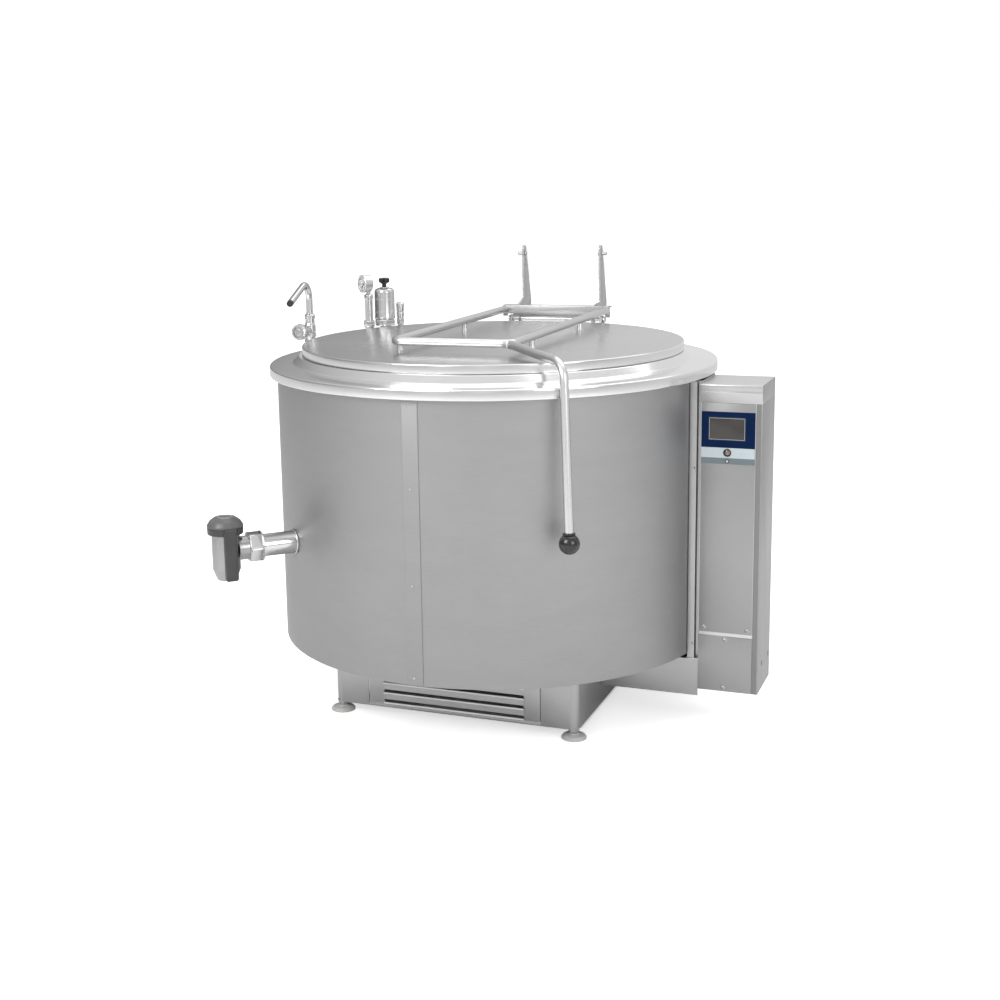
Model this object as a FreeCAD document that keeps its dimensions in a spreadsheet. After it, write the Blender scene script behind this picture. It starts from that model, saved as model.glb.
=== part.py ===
import FreeCAD, Part
import Sketcher
import math
import os

# Electric jacketed cooking kettle, floor standing, with a hinged counterweighted lid,
# a side control box, a drain tap, a water tap and a steam safety group.
# Millimetres. Origin on the floor under the vessel axis, +Z up, front towards -Y,
# control box towards +X.

Vec = FreeCAD.Vector
os.makedirs("parts", exist_ok=True)
doc = FreeCAD.newDocument("cooking_kettle")

# Driving dimensions: name, value or formula, meaning
SIZES = (
    ("fit_gap", 0.3, "gap between curved faces that only lie beside each other"),
    ("running_gap", 0.05, "radial gap of a turning shaft in its hole"),
    ("sheet", 1.5, "thin cover sheet"),
    ("plate", 2, "formed top sheet and lid sheet"),
    ("rim_top", 900, "outer rim height above the floor"),
    ("casing_radius", 563, "outer radius of the round casing"),
    ("casing_bottom", 183, "height of the casing's lower edge"),
    ("rim_radius", "casing_radius + 19", "outer radius of the rim ring"),
    ("rim_band", 26, "height of the rim's outer band"),
    ("rim_corner", 4, "rounding of the rim's outer edge"),
    ("collar_rise", 4.5, "how far the rim slopes up to the collar"),
    ("collar_foot_radius", "casing_radius - 42", "collar radius at its foot"),
    ("collar_top_radius", "casing_radius - 56", "collar radius at its top"),
    ("ledge_height", "rim_top + 23.5", "height of the collar's flat top"),
    ("vessel_radius", "collar_top_radius - 41", "inner radius of the cooking vessel"),
    ("vessel_wall", 3, "vessel sheet"),
    ("vessel_flange", "vessel_radius + 32", "outer radius of the vessel's turned-out flange"),
    ("vessel_floor", 530, "inner height of the vessel's bottom at its centre"),
    ("dish_rise", 55, "how far the dished bottom rises from centre to knuckle"),
    ("knuckle", 60, "radius between vessel wall and dished bottom"),
    ("weld_line", 0.1, "parting line at the weld of wall and dished bottom"),
    ("jacket_radius", "vessel_radius + 37", "outer radius of the steam jacket"),
    ("jacket_top", "rim_top - 20", "height of the jacket's top ring"),
    ("jacket_bottom", 290, "height of the jacket's floor"),
    ("jacket_skirt_radius", "jacket_radius - 93", "radius of the skirt that carries the jacket"),
    ("seam_gap", 1, "gap between the two casing halves under the seam strips"),
    ("seam_width", 41, "width of a seam strip"),
    ("strip_drop", 6, "upper end of a seam strip below the rim's top"),
    ("pan_plate", 3, "thickness of the base pan"),
    ("pan_lip", 24, "height of the base pan's upturned edge"),
    ("pan_opening_radius", 150, "service hole in the base pan"),
    ("plinth_half_width", 330, "half of the plinth along X"),
    ("plinth_half_depth", 325, "half of the plinth along Y"),
    ("plinth_bottom", 25, "height of the plinth's lower edge"),
    ("plinth_corner", 20, "outer corner radius of the plinth"),
    ("plinth_hole_radius", 190, "service hole in the plinth top"),
    ("foot_inset", 14.5, "foot axis in from the plinth faces"),
    ("foot_pad_radius", 31.5, "radius of a foot pad"),
    ("foot_stem_radius", 8, "radius of a foot's threaded stem"),
    ("foot_stem_top", "plinth_bottom + 45", "height of the stem's upper end"),
    ("corner_plate", 4, "thickness of the plates that the feet screw into"),
    ("louvre_half_width", "plinth_half_width - 96", "half width of the removable front panel"),
    ("louvre_panel_bottom", "plinth_bottom + 8", "lower edge of the front panel"),
    ("louvre_panel_top", "casing_bottom - 11", "upper edge of the front panel"),
    ("slot_half_length", "louvre_half_width - 43", "half length of a louvre slot"),
    ("slot_height", 10, "open height of a louvre"),
    ("lip_rise", 2.5, "how far a louvre lip rises before its slot"),
    ("slot_first", "louvre_panel_bottom + 14", "top of the lowest louvre slot"),
    ("slot_pitch", 26.5, "spacing of the louvres"),
    ("slot_count", 5, "number of louvre rows"),
    ("hood_out", 4, "how far a louvre lip stands out"),
    ("drain_angle", -134, "direction of the drain, degrees from +X"),
    ("drain_height", "vessel_floor - 59", "height of the drain pipe's axis"),
    ("drain_pipe_radius", 28.5, "drain pipe outside"),
    ("drain_pipe_wall", 2, "drain pipe wall"),
    ("drain_seat_radius", 64, "flange of the drain pipe under the vessel floor"),
    ("drain_elbow", 46, "bend radius of the drain elbow"),
    ("nut_start", "casing_radius + 89", "inner face of the union nut from the vessel axis"),
    ("nut_end", "nut_start + 25", "outer face of the union nut"),
    ("nut_flats", 68, "union nut across flats"),
    ("valve_offset", "nut_end + 67", "drain valve axis from the vessel axis"),
    ("valve_radius", 34, "drain valve body radius"),
    ("valve_top", "drain_height + 50.5", "top of the drain valve body"),
    ("valve_bottom", "drain_height - 75", "outlet face of the drain valve"),
    ("outlet_radius", 17, "bore of the drain outlet"),
    ("neck_radius", 30, "drain valve neck"),
    ("plug_radius", 27, "bore that holds the drain plug"),
    ("spindle_radius", 8, "drain valve spindle"),
    ("cap_radius", 45.5, "black cap of the drain handle"),
    ("cap_top", "valve_top + 35", "top of the drain handle"),
    ("grip_width", 32, "width of the hanging grip"),
    ("grip_thickness", 17, "thickness of the hanging grip"),
    ("grip_bottom", "valve_bottom + 4.5", "lower end of the grip"),
    ("lid_radius", "collar_top_radius - 10", "outer radius of the lid"),
    ("lid_top", "ledge_height + 22.9", "height of the lid's flat top"),
    ("lid_edge", 3, "rounding of the lid's upper edge"),
    ("lid_skirt_gap", 2, "gap between the lid skirt and the ledge"),
    ("gasket_inner", "lid_radius - 19", "inner radius of the lid seal"),
    ("gasket_outer", "lid_radius - 7", "outer radius of the lid seal"),
    ("tube_radius", 10.5, "radius of the lid frame tube"),
    ("tube_wall", 2, "wall of the lid frame tube"),
    ("frame_half_width", 154, "lid frame tubes left and right of the middle"),
    ("frame_front", "rim_radius - 288", "front tube of the lid frame ahead of the vessel axis"),
    ("hinge_back", "casing_radius - 3", "hinge axis behind the vessel axis"),
    ("hinge_height", "lid_top - 0.4", "height of the hinge axis"),
    ("frame_rear", "hinge_back - 8", "rear ends of the lid frame tubes"),
    ("frame_level", "lid_top + 27.6", "height of the lid frame tubes"),
    ("frame_bend", 24, "bend radius of the lid frame corners"),
    ("lever_angle", -45, "direction of the lever from the frame corner"),
    ("lever_clear", 17, "how far the lever's bend stands outside the rim"),
    ("lever_end", 553, "height of the lever's lower end"),
    ("lever_drop", 17, "how far the lever arm falls to its bend"),
    ("lever_bend", 46, "bend radius of the lever"),
    ("lever_lean", 24.8, "how far the hanging part leans outwards"),
    ("ball_radius", 24.7, "radius of the lever's ball"),
    ("ball_height", "lever_end - 8", "height of the ball's centre"),
    ("stud_radius", 7.5, "radius of the studs between lid and frame"),
    ("stud_left_front", -250, "left front stud along Y"),
    ("stud_left_rear", 205, "left rear stud along Y"),
    ("stud_right_front", -130, "right front stud along Y"),
    ("stud_right_rear", 283, "right rear stud along Y"),
    ("hinge_radius", 6, "radius of the hinge shaft"),
    ("crossbar_half", 164, "half length of the rear crossbar"),
    ("crossbar_top", "frame_level + 12", "top of the rear crossbar"),
    ("crossbar_bottom", "hinge_height + 7", "lower edge of the crossbar's web"),
    ("crossbar_plate", 4, "thickness of the crossbar"),
    ("ear_place", 112, "centre of the crossbar's ears from the middle"),
    ("ear_plate", 8, "thickness of an ear"),
    ("lug_place", 138, "centre of a rim bracket's lug from the middle"),
    ("lug_plate", 8, "thickness of a rim bracket's lug"),
    ("bracket_half", 20, "half width of a rim bracket's foot"),
    ("arm_place", 118, "centre of a counterweight arm from the middle"),
    ("arm_plate", 6, "thickness of a counterweight arm"),
    ("arm_front", "hinge_back + 48", "front edge of the arms behind the vessel axis"),
    ("arm_rear", "arm_front + 64", "rear edge of the arms at their foot"),
    ("arm_foot", "hinge_height + 19", "lower edge of the arms"),
    ("arm_pin_height", "arm_foot + 169", "height of the spring pins"),
    ("arm_pin_radius", 4.5, "radius of the spring pins"),
    ("tap_x", "-1 * (rim_radius - 39)", "water tap along X"),
    ("tap_y", 25, "water tap along Y"),
    ("spout_radius", 9, "radius of the tap spout"),
    ("spout_reach", 172, "horizontal reach of the spout"),
    ("spout_turn", -80, "direction of the spout, degrees from +X"),
    ("spout_apex", "wheel_height + 140", "height where the spout's two runs would meet"),
    ("spout_mouth", "spout_apex - 50", "height of the spout's mouth"),
    ("spout_bend", 45, "bend radius of the spout"),
    ("wheel_radius", 21.5, "radius of the tap's hand wheel"),
    ("wheel_height", "rim_top + 60", "height of the hand wheel's axis"),
    ("wheel_start", 53, "inner face of the hand wheel from the tap's column"),
    ("wheel_length", 21, "thickness of the hand wheel"),
    ("gauge_x", "rim_radius * -472.5 / 582", "pressure gauge along X"),
    ("gauge_y", "rim_radius * 265 / 582", "pressure gauge along Y"),
    ("gauge_height", "rim_top + 168.5", "height of the dial's centre"),
    ("gauge_radius", 25.3, "radius of the gauge case"),
    ("gauge_turn", -127.3, "direction the dial faces, degrees from +X"),
    ("gauge_front", 22, "front rim of the gauge ahead of its stem"),
    ("gauge_depth", 27, "depth of the gauge case"),
    ("relief_x", "rim_radius * -442.5 / 582", "safety valve along X"),
    ("relief_y", "rim_radius * 310 / 582", "safety valve along Y"),
    ("relief_radius", 28.7, "radius of the safety valve's bonnet"),
    ("vent_x", "rim_radius * -411 / 582", "vent valve along X"),
    ("vent_y", "rim_radius * 350 / 582", "vent valve along Y"),
    ("box_left", "casing_radius + 17", "left side of the control box"),
    ("box_right", "box_left + 149", "right side of the control box"),
    ("box_front", 118, "front plane of the box ahead of the vessel axis"),
    ("box_back", 46, "rear plane of the box behind the vessel axis"),
    ("box_bottom", 94, "lower edge of the control box"),
    ("hood_top", "rim_top - 32", "top of the box's hood"),
    ("hood_break", "hood_top - 11", "height where the hood's front starts to slope"),
    ("hood_bottom", "hood_top - 45.5", "lower edge of the box's hood"),
    ("hood_overhang", 8, "how far the hood stands out over the door"),
    ("frame_strip", 15, "width of the box's right front strip"),
    ("door_top", "hood_bottom - 0.3", "upper edge of the door"),
    ("door_bottom", 246, "lower edge of the door"),
    ("cover_top", "door_bottom - 10", "upper edge of the lower cover"),
    ("panel_depth", 14, "depth of door and cover"),
    ("panel_gap", 0.3, "gap round door and cover"),
    ("fascia_inset", 2, "fascia in from the door's sides"),
    ("fascia_top", "door_top - 21.2", "upper edge of the fascia"),
    ("fascia_bottom", "fascia_top - 128", "lower edge of the fascia"),
    ("fascia_plate", 1, "thickness of the fascia"),
    ("display_left", "box_left + 19", "left side of the display"),
    ("display_right", "display_left + 90", "right side of the display"),
    ("display_top", "fascia_top - 13", "upper edge of the display"),
    ("display_bottom", "display_top - 57", "lower edge of the display"),
    ("button_x", "box_left + 65.5", "start button along X"),
    ("button_height", "fascia_bottom + 28", "height of the start button"),
    ("button_radius", 7, "radius of the button's cap"),
    ("button_stroke", 2.5, "travel of the start button"),
    ("lamp_height", "button_height - 21", "height of the status lamp"),
    ("lamp_radius", 4, "radius of the status lamp"),
    ("gland_x", "box_left + 75", "cable gland along X"),
    ("gland_height", 150, "height of the cable gland"),
    ("gland_bore", 9, "radius of the cable gland's bore"),
    ("beam_bottom", 76, "lower edge of the support beam"),
    ("beam_top", "casing_bottom - 10", "top of the support beam"),
    ("beam_plate", 2.5, "sheet of the support beam"),
    ("spacer_top", "hood_top + 4", "upper edge of the side spacer"),
    ("heater_height", 345, "height of the heater flange's axis"),
    ("heater_radius", 62, "radius of the heater nozzle"),
)

sheet = doc.addObject("Spreadsheet::Sheet", "Sizes")
for row, (alias, value, meaning) in enumerate(SIZES, 1):
    sheet.set(f"A{row}", meaning)
    sheet.set(f"B{row}", f"={value}" if isinstance(value, str) else str(value))
    sheet.setAlias(f"B{row}", alias)
doc.recompute()


class Size:
    """A length or angle together with the sheet expression that yields it."""

    def __init__(self, value, text=None):
        self.value = float(value)
        self.text = text or repr(float(value))

    def __add__(self, other):
        other = as_size(other)
        return Size(self.value + other.value, f"({self.text} + {other.text})")

    def __sub__(self, other):
        other = as_size(other)
        return Size(self.value - other.value, f"({self.text} - {other.text})")

    def __mul__(self, other):
        other = as_size(other)
        return Size(self.value * other.value, f"({self.text} * {other.text})")

    def __truediv__(self, other):
        other = as_size(other)
        return Size(self.value / other.value, f"({self.text} / {other.text})")

    def __neg__(self):
        return Size(-self.value, f"(-1 * {self.text})")

    def __radd__(self, other):
        return as_size(other) + self

    def __rsub__(self, other):
        return as_size(other) - self

    def __rmul__(self, other):
        return as_size(other) * self

    def __float__(self):
        return self.value


def as_size(value):
    return value if isinstance(value, Size) else Size(value)


def cos_of(angle):
    angle = as_size(angle)
    return Size(math.cos(math.radians(angle.value)), f"cos({angle.text})")


def sin_of(angle):
    angle = as_size(angle)
    return Size(math.sin(math.radians(angle.value)), f"sin({angle.text})")


def root_of(square):
    return Size(math.sqrt(square.value), f"sqrt({square.text})")


def slope_of(ratio):
    return Size(math.degrees(math.atan(ratio.value)), f"atan({ratio.text})")


class Sheet:
    """Reads the spreadsheet's named cells as sizes."""

    def __getattr__(self, alias):
        return Size(sheet.get(alias), f"Sizes.{alias}")


s = Sheet()


def bind(target, path, size):
    size = as_size(size)
    if size.text != repr(size.value):
        target.setExpression(path, size.text)


def new_body(label):
    body = doc.addObject("PartDesign::Body", label)
    body.Label = label
    return body


def spun(axis, angle):
    """A rotation written with a positive angle, so that an expression can drive it."""
    angle = as_size(angle)
    if angle.value < 0:
        return FreeCAD.Rotation(-axis, -angle.value), -angle
    return FreeCAD.Rotation(axis, angle.value), angle


def place(target, x=0, y=0, z=0, turn=0):
    """Puts a sub-part at a point of the frame, turned about the vertical."""
    x, y, z = as_size(x), as_size(y), as_size(z)
    rotation, angle = spun(Vec(0, 0, 1), turn)
    target.Placement = FreeCAD.Placement(Vec(x.value, y.value, z.value), rotation)
    bind(target, "Placement.Base.x", x)
    bind(target, "Placement.Base.y", y)
    bind(target, "Placement.Base.z", z)
    bind(target, "Placement.Rotation.Angle", angle)
    return target


def origin_plane(body, role):
    for item in body.Origin.OriginFeatures:
        if item.Role == role:
            return item
    raise ValueError(role)


def sketch_on(body, role, shift=0, turn=0, about=Vec(0, 0, 1)):
    """A sketch on one of the body's own planes, moved along the plane's normal and turned."""
    sketch = body.newObject("Sketcher::SketchObject", "Sketch")
    sketch.AttachmentSupport = [(origin_plane(body, role + "_Plane"), "")]
    sketch.MapMode = "FlatFace"
    shift = as_size(shift)
    rotation, angle = spun(about, turn)
    sketch.AttachmentOffset = FreeCAD.Placement(Vec(0, 0, shift.value), rotation)
    bind(sketch, "AttachmentOffset.Base.z", shift)
    bind(sketch, "AttachmentOffset.Rotation.Angle", angle)
    return sketch


class Rules:
    """Collects a sketch's constraints, applies them together and ties their sizes."""

    def __init__(self, sketch):
        self.sketch = sketch
        self.items = []
        self.sizes = []

    def tie(self, *terms):
        self.items.append(Sketcher.Constraint(*terms))

    def measure(self, kind, size, *where):
        size = as_size(size)
        self.sizes.append((len(self.items), size))
        self.tie(kind, *where, size.value)

    def locate(self, item, end, x, y):
        self.measure("DistanceX", x, -1, 1, item, end)
        self.measure("DistanceY", y, -1, 1, item, end)

    def apply(self):
        first = self.sketch.ConstraintCount
        self.sketch.addConstraint(self.items)
        for index, size in self.sizes:
            bind(self.sketch, f"Constraints[{first + index}]", size)
        return self.sketch


def flat(point):
    return Vec(float(point[0]), float(point[1]), 0)


def outline(sketch, points):
    """A closed outline of straight sides through the given corners."""
    count = len(points)
    rules = Rules(sketch)
    sides = []
    for k in range(count):
        side = Part.LineSegment(flat(points[k]), flat(points[(k + 1) % count]))
        sides.append(sketch.addGeometry(side, False))
    for k in range(count):
        rules.tie("Coincident", sides[k], 2, sides[(k + 1) % count], 1)
        rules.locate(sides[k], 1, *points[k])
    return rules.apply()


def rectangle(sketch, left, right, low, high):
    return outline(sketch, ((left, low), (right, low), (right, high), (left, high)))


def rounded_rectangle(sketch, half_x, half_y, radius):
    """A rectangle about the origin with four rounded corners."""
    r = float(radius)
    x, y = float(half_x) - r, float(half_y) - r
    rules = Rules(sketch)
    arcs = []
    for k, centre in enumerate(((x, -y), (x, y), (-x, y), (-x, -y))):
        base = Part.Circle(flat(centre), Vec(0, 0, 1), r)
        start = math.radians(90 * k - 90)
        corner = Part.ArcOfCircle(base, start, start + math.pi / 2)
        arcs.append(sketch.addGeometry(corner, False))
    for k in range(4):
        follower = arcs[(k + 1) % 4]
        first = sketch.Geometry[arcs[k]].EndPoint
        last = sketch.Geometry[follower].StartPoint
        side = sketch.addGeometry(Part.LineSegment(first, last), False)
        rules.tie("Tangent", arcs[k], 2, side, 1)
        rules.tie("Tangent", side, 2, follower, 1)
    for k, (sign_x, sign_y) in enumerate(((1, -1), (1, 1), (-1, 1), (-1, -1))):
        rules.measure("Radius", radius, arcs[k])
        rules.locate(arcs[k], 3, (half_x - radius) * sign_x, (half_y - radius) * sign_y)
    return rules.apply()


def circle(sketch, x, y, radius):
    ring = sketch.addGeometry(Part.Circle(flat((x, y)), Vec(0, 0, 1), float(radius)), False)
    rules = Rules(sketch)
    rules.measure("Radius", radius, ring)
    rules.locate(ring, 3, x, y)
    return rules.apply()


def rounded_run(sketch, points, radius):
    """An open path through the given corners, each rounded by a tangent arc."""
    corners = [flat(point) for point in points]
    rules = Rules(sketch)
    start = corners[0]
    line = None
    for k in range(1, len(corners) - 1):
        back = (corners[k - 1] - corners[k]).normalize()
        ahead = (corners[k + 1] - corners[k]).normalize()
        half = back.getAngle(ahead) / 2
        first = corners[k] + back * (float(radius) / math.tan(half))
        last = corners[k] + ahead * (float(radius) / math.tan(half))
        centre = corners[k] + (back + ahead).normalize() * (float(radius) / math.sin(half))
        left_turn = back.cross(ahead).z < 0
        begin, end = (first, last) if left_turn else (last, first)
        if line is None:
            line = sketch.addGeometry(Part.LineSegment(start, first), False)
            rules.locate(line, 1, *points[0])
        base = Part.Circle(centre, Vec(0, 0, 1), float(radius))
        turn = [math.atan2(point.y - centre.y, point.x - centre.x) for point in (begin, end)]
        arc = sketch.addGeometry(Part.ArcOfCircle(base, turn[0], turn[1]), False)
        follow = corners[k + 1]
        if k + 2 < len(corners):
            beyond = (corners[k + 2] - follow).normalize()
            shorten = float(radius) / math.tan((-ahead).getAngle(beyond) / 2)
            follow = follow - ahead * shorten
        after = sketch.addGeometry(Part.LineSegment(last, follow), False)
        near = 1 if left_turn else 2
        rules.tie("Tangent", line, 2, arc, near)
        rules.tie("Tangent", arc, 3 - near, after, 1)
        rules.measure("Radius", radius, arc)
        mark = sketch.addGeometry(Part.Point(corners[k]), True)
        rules.locate(mark, 1, *points[k])
        rules.tie("PointOnObject", mark, 1, line)
        rules.tie("PointOnObject", mark, 1, after)
        line = after
    rules.locate(line, 2, *points[-1])
    return rules.apply()


def feature(body, kind, profile, length, reverse=False, middle=False):
    item = body.newObject(f"PartDesign::{kind}", kind)
    item.Profile = profile
    length = as_size(length)
    item.Length = length.value
    bind(item, "Length", length)
    item.Reversed = reverse
    if middle:
        item.SideType = "Symmetric"
    profile.Visibility = False
    return item


def pad(body, profile, length, reverse=False, middle=False):
    return feature(body, "Pad", profile, length, reverse, middle)


def cut(body, profile, length, reverse=False, middle=False):
    """A pocket that must take material away; it turns round when it meets none."""
    doc.recompute()
    before = body.Shape.Volume
    item = feature(body, "Pocket", profile, length, reverse, middle)
    for flip in (reverse, not reverse):
        item.Reversed = flip
        doc.recompute()
        if body.Shape.Volume < before - 0.01:
            return item
    raise ValueError(f"a pocket cuts nothing in {body.Label}")


def cut_through(body, profile):
    doc.recompute()
    before = body.Shape.Volume
    item = body.newObject("PartDesign::Pocket", "Pocket")
    item.Profile = profile
    item.Type = "ThroughAll"
    item.SideType = "Symmetric"
    doc.recompute()
    if body.Shape.Volume > before - 0.01:
        raise ValueError(f"a through cut misses {body.Label}")
    return item


def turned(body, profile, angle=360, kind="Revolution", axis="V_Axis"):
    item = body.newObject(f"PartDesign::{kind}", kind)
    item.Profile = profile
    item.ReferenceAxis = (profile, [axis])
    angle = as_size(angle)
    item.Angle = angle.value
    bind(item, "Angle", angle)
    if angle.value < 360:
        item.Midplane = True
    return item


def pattern(body, feature_item, axis, step, count):
    item = body.newObject("PartDesign::LinearPattern", "LinearPattern")
    item.Originals = [feature_item]
    item.Direction = (axis, [""])
    item.Mode = "Spacing"
    item.Offset = float(step)
    bind(item, "Offset", step)
    item.Occurrences = int(float(count))
    bind(item, "Occurrences", count)
    body.Tip = item
    return item


def axis_of(body, role):
    return origin_plane(body, role + "_Axis")


def swept(body, path, radius, kind="AdditivePipe"):
    """A round bar or bore along a path sketch."""
    doc.recompute()
    section = body.newObject("Sketcher::SketchObject", "Section")
    section.AttachmentSupport = [(path, "Edge1")]
    section.MapMode = "NormalToEdge"
    ring = section.addGeometry(Part.Circle(Vec(0, 0, 0), Vec(0, 0, 1), float(radius)), False)
    rules = Rules(section)
    rules.measure("Radius", radius, ring)
    rules.tie("Coincident", ring, 3, -1, 1)
    rules.apply()
    doc.recompute()
    item = body.newObject(f"PartDesign::{kind}", kind)
    item.Profile = section
    item.Spine = (path, [f"Edge{k + 1}" for k in range(len(path.Shape.Edges))])
    return item


def edges_where(shape, test):
    names = []
    for k, edge in enumerate(shape.Edges):
        if test(edge):
            names.append(f"Edge{k + 1}")
    if not names:
        raise ValueError("no edge found to round")
    return names


def soften(body, size, test, kind="Fillet"):
    """Rounds or bevels the body's edges that pass the test."""
    doc.recompute()
    base = body.Tip
    item = body.newObject(f"PartDesign::{kind}", kind)
    item.Base = (base, edges_where(base.Shape, test))
    name = "Radius" if kind == "Fillet" else "Size"
    size = as_size(size)
    setattr(item, name, size.value)
    bind(item, name, size)
    return item


def round_edge(radius, height):
    """Test for a full circle edge of one radius at one height."""

    def test(edge):
        curve = edge.Curve
        if not isinstance(curve, Part.Circle):
            return False
        near_radius = abs(curve.Radius - float(radius)) < 0.01
        return near_radius and abs(curve.Center.z - float(height)) < 0.01

    return test


def revolved(label, points, angle=360):
    """A body turned about the vertical axis from a profile in radius and height."""
    body = new_body(label)
    turned(body, outline(sketch_on(body, "XZ"), points), angle)
    return body


def tube_points(inner, outer, low, high):
    return ((inner, low), (outer, low), (outer, high), (inner, high))


def hexagon(sketch, x, y, flats):
    """A regular hexagon with two upright sides."""
    reach = flats / 2
    tip = flats / math.sqrt(3)
    corners = ((0, 1), (1, 0.5), (1, -0.5), (0, -1), (-1, -0.5), (-1, 0.5))
    return outline(sketch, [(x + reach * a, y + tip * b) for a, b in corners])


def rim_height(radius):
    """Height of the sloping rim surface at one radius."""
    slope = s.collar_rise / (s.rim_radius - s.collar_foot_radius)
    return s.rim_top + (s.rim_radius - radius) * slope


def rim_underside(radius):
    """Height of the rim sheet's lower face at one radius."""
    slope = s.collar_rise / (s.rim_radius - s.collar_foot_radius)
    return s.rim_top - s.plate + (s.rim_radius - s.plate - radius) * slope


def radius_at(x, y):
    return root_of(x * x + y * y)


# Plinth


def plinth_frame():
    body = new_body("plinth_frame")
    wide, deep, wall = s.plinth_half_width, s.plinth_half_depth, s.plate
    height = s.casing_bottom - s.plinth_bottom
    base = sketch_on(body, "XY", s.plinth_bottom)
    pad(body, rounded_rectangle(base, wide, deep, s.plinth_corner), height)
    hollow = sketch_on(body, "XY", s.plinth_bottom)
    rounded_rectangle(hollow, wide - wall, deep - wall, s.plinth_corner - wall)
    cut(body, hollow, height - s.pan_plate, reverse=True)
    for side_x in (-1, 1):
        for side_y in (-1, 1):
            plate = sketch_on(body, "XY", s.plinth_bottom)
            corner_x, corner_y = (wide - wall / 2) * side_x, (deep - wall / 2) * side_y
            edge_x, edge_y = (wide - 70) * side_x, (deep - 70) * side_y
            cut_x, cut_y = (wide - 9) * side_x, (deep - 9) * side_y
            outline(
                plate,
                (
                    (edge_x, edge_y),
                    (corner_x, edge_y),
                    (corner_x, cut_y),
                    (cut_x, corner_y),
                    (edge_x, corner_y),
                ),
            )
            pad(body, plate, s.corner_plate)
            hole = sketch_on(body, "XY", s.plinth_bottom)
            foot_x, foot_y = (wide - s.foot_inset) * side_x, (deep - s.foot_inset) * side_y
            circle(hole, foot_x, foot_y, s.foot_stem_radius + s.fit_gap)
            cut(body, hole, s.corner_plate + 1, reverse=True)
    service = sketch_on(body, "XY", s.casing_bottom)
    circle(service, 0, 0, s.plinth_hole_radius)
    cut(body, service, s.pan_plate + 1)
    for shift, flip in ((s.plinth_half_depth, False), (-s.plinth_half_depth, True)):
        window = sketch_on(body, "XZ", shift)
        half = s.louvre_half_width
        rectangle(window, -half, half, s.louvre_panel_bottom, s.louvre_panel_top)
        cut(body, window, wall * 2, reverse=flip)
    return body


def louvred_panel(label, turn):
    body = new_body(label)
    gap = s.sheet
    half = s.louvre_half_width - gap
    face = sketch_on(body, "XZ", s.plinth_half_depth)
    rectangle(face, -half, half, s.louvre_panel_bottom + gap, s.louvre_panel_top - gap)
    pad(body, face, s.sheet, reverse=True)
    lip = sketch_on(body, "YZ")
    front = -s.plinth_half_depth
    outline(
        lip,
        (
            (front + s.sheet / 2, s.slot_first - s.slot_height - s.sheet),
            (front + s.sheet / 2, s.slot_first - s.slot_height),
            (front - s.hood_out + s.sheet, s.slot_first - s.slot_height + s.lip_rise),
            (front - s.hood_out, s.slot_first - s.slot_height + s.lip_rise),
            (front, s.slot_first - s.slot_height - s.sheet),
        ),
    )
    hood = pad(body, lip, s.slot_half_length * 2, middle=True)
    doc.recompute()
    pattern(body, hood, axis_of(body, "Z"), s.slot_pitch, s.slot_count)
    doc.recompute()
    slot = sketch_on(body, "XZ", s.plinth_half_depth)
    inset = s.slot_half_length - s.sheet
    rectangle(slot, -inset, inset, s.slot_first - s.slot_height, s.slot_first)
    opening = cut(body, slot, s.sheet * 2, reverse=True)
    pattern(body, opening, axis_of(body, "Z"), s.slot_pitch, s.slot_count)
    place(body, turn=turn)
    return body


def foot(label, side_x, side_y):
    stem, pad_radius = s.foot_stem_radius, s.foot_pad_radius
    points = (
        (0, 0),
        (pad_radius, 0),
        (pad_radius, 5),
        (pad_radius - 5, 10),
        (stem + 5, 12),
        (stem + 5, s.plinth_bottom),
        (stem, s.plinth_bottom),
        (stem, s.foot_stem_top),
        (0, s.foot_stem_top),
    )
    body = revolved(label, points)
    place(
        body,
        (s.plinth_half_width - s.foot_inset) * side_x,
        (s.plinth_half_depth - s.foot_inset) * side_y,
    )
    return body


def base_pan():
    low = s.casing_bottom
    outer = s.casing_radius - s.sheet - s.fit_gap
    lip = s.sheet
    return revolved(
        "base_pan",
        (
            (s.pan_opening_radius, low),
            (outer, low),
            (outer, low + s.pan_lip),
            (outer - lip, low + s.pan_lip),
            (outer - lip, low + s.pan_plate),
            (s.pan_opening_radius, low + s.pan_plate),
        ),
    )


# Casing and rim


def casing_half(label, turn):
    body = new_body(label)
    gap_angle = s.seam_gap / s.casing_radius * (180 / math.pi)
    top = rim_underside(s.casing_radius) - s.fit_gap
    wall = tube_points(s.casing_radius - s.sheet, s.casing_radius, s.casing_bottom, top)
    turned(body, outline(sketch_on(body, "XZ"), wall), 180 - gap_angle)
    place(body, turn=turn)
    return body


def casing_left():
    body = casing_half("casing_left", 180)
    hole = sketch_on(body, "YZ", 0, s.drain_angle + 180, Vec(0, 1, 0))
    circle(hole, 0, s.drain_height, s.drain_pipe_radius + s.fit_gap)
    cut(body, hole, s.casing_radius + 20, reverse=True)
    return body


def casing_right():
    body = casing_half("casing_right", 0)
    service = sketch_on(body, "YZ")
    rectangle(service, -70, 0, s.casing_bottom + 200, s.casing_bottom + 330)
    cut(body, service, s.casing_radius + 20, reverse=True)
    return body


def seam_strip(label, turn):
    inner = s.casing_radius + 0.1
    span = s.seam_width / s.casing_radius * (180 / math.pi)
    top = s.rim_top - s.strip_drop
    wall = tube_points(inner, inner + s.sheet, s.casing_bottom + 2, top)
    body = revolved(label, wall, span)
    place(body, turn=turn)
    return body


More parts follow.
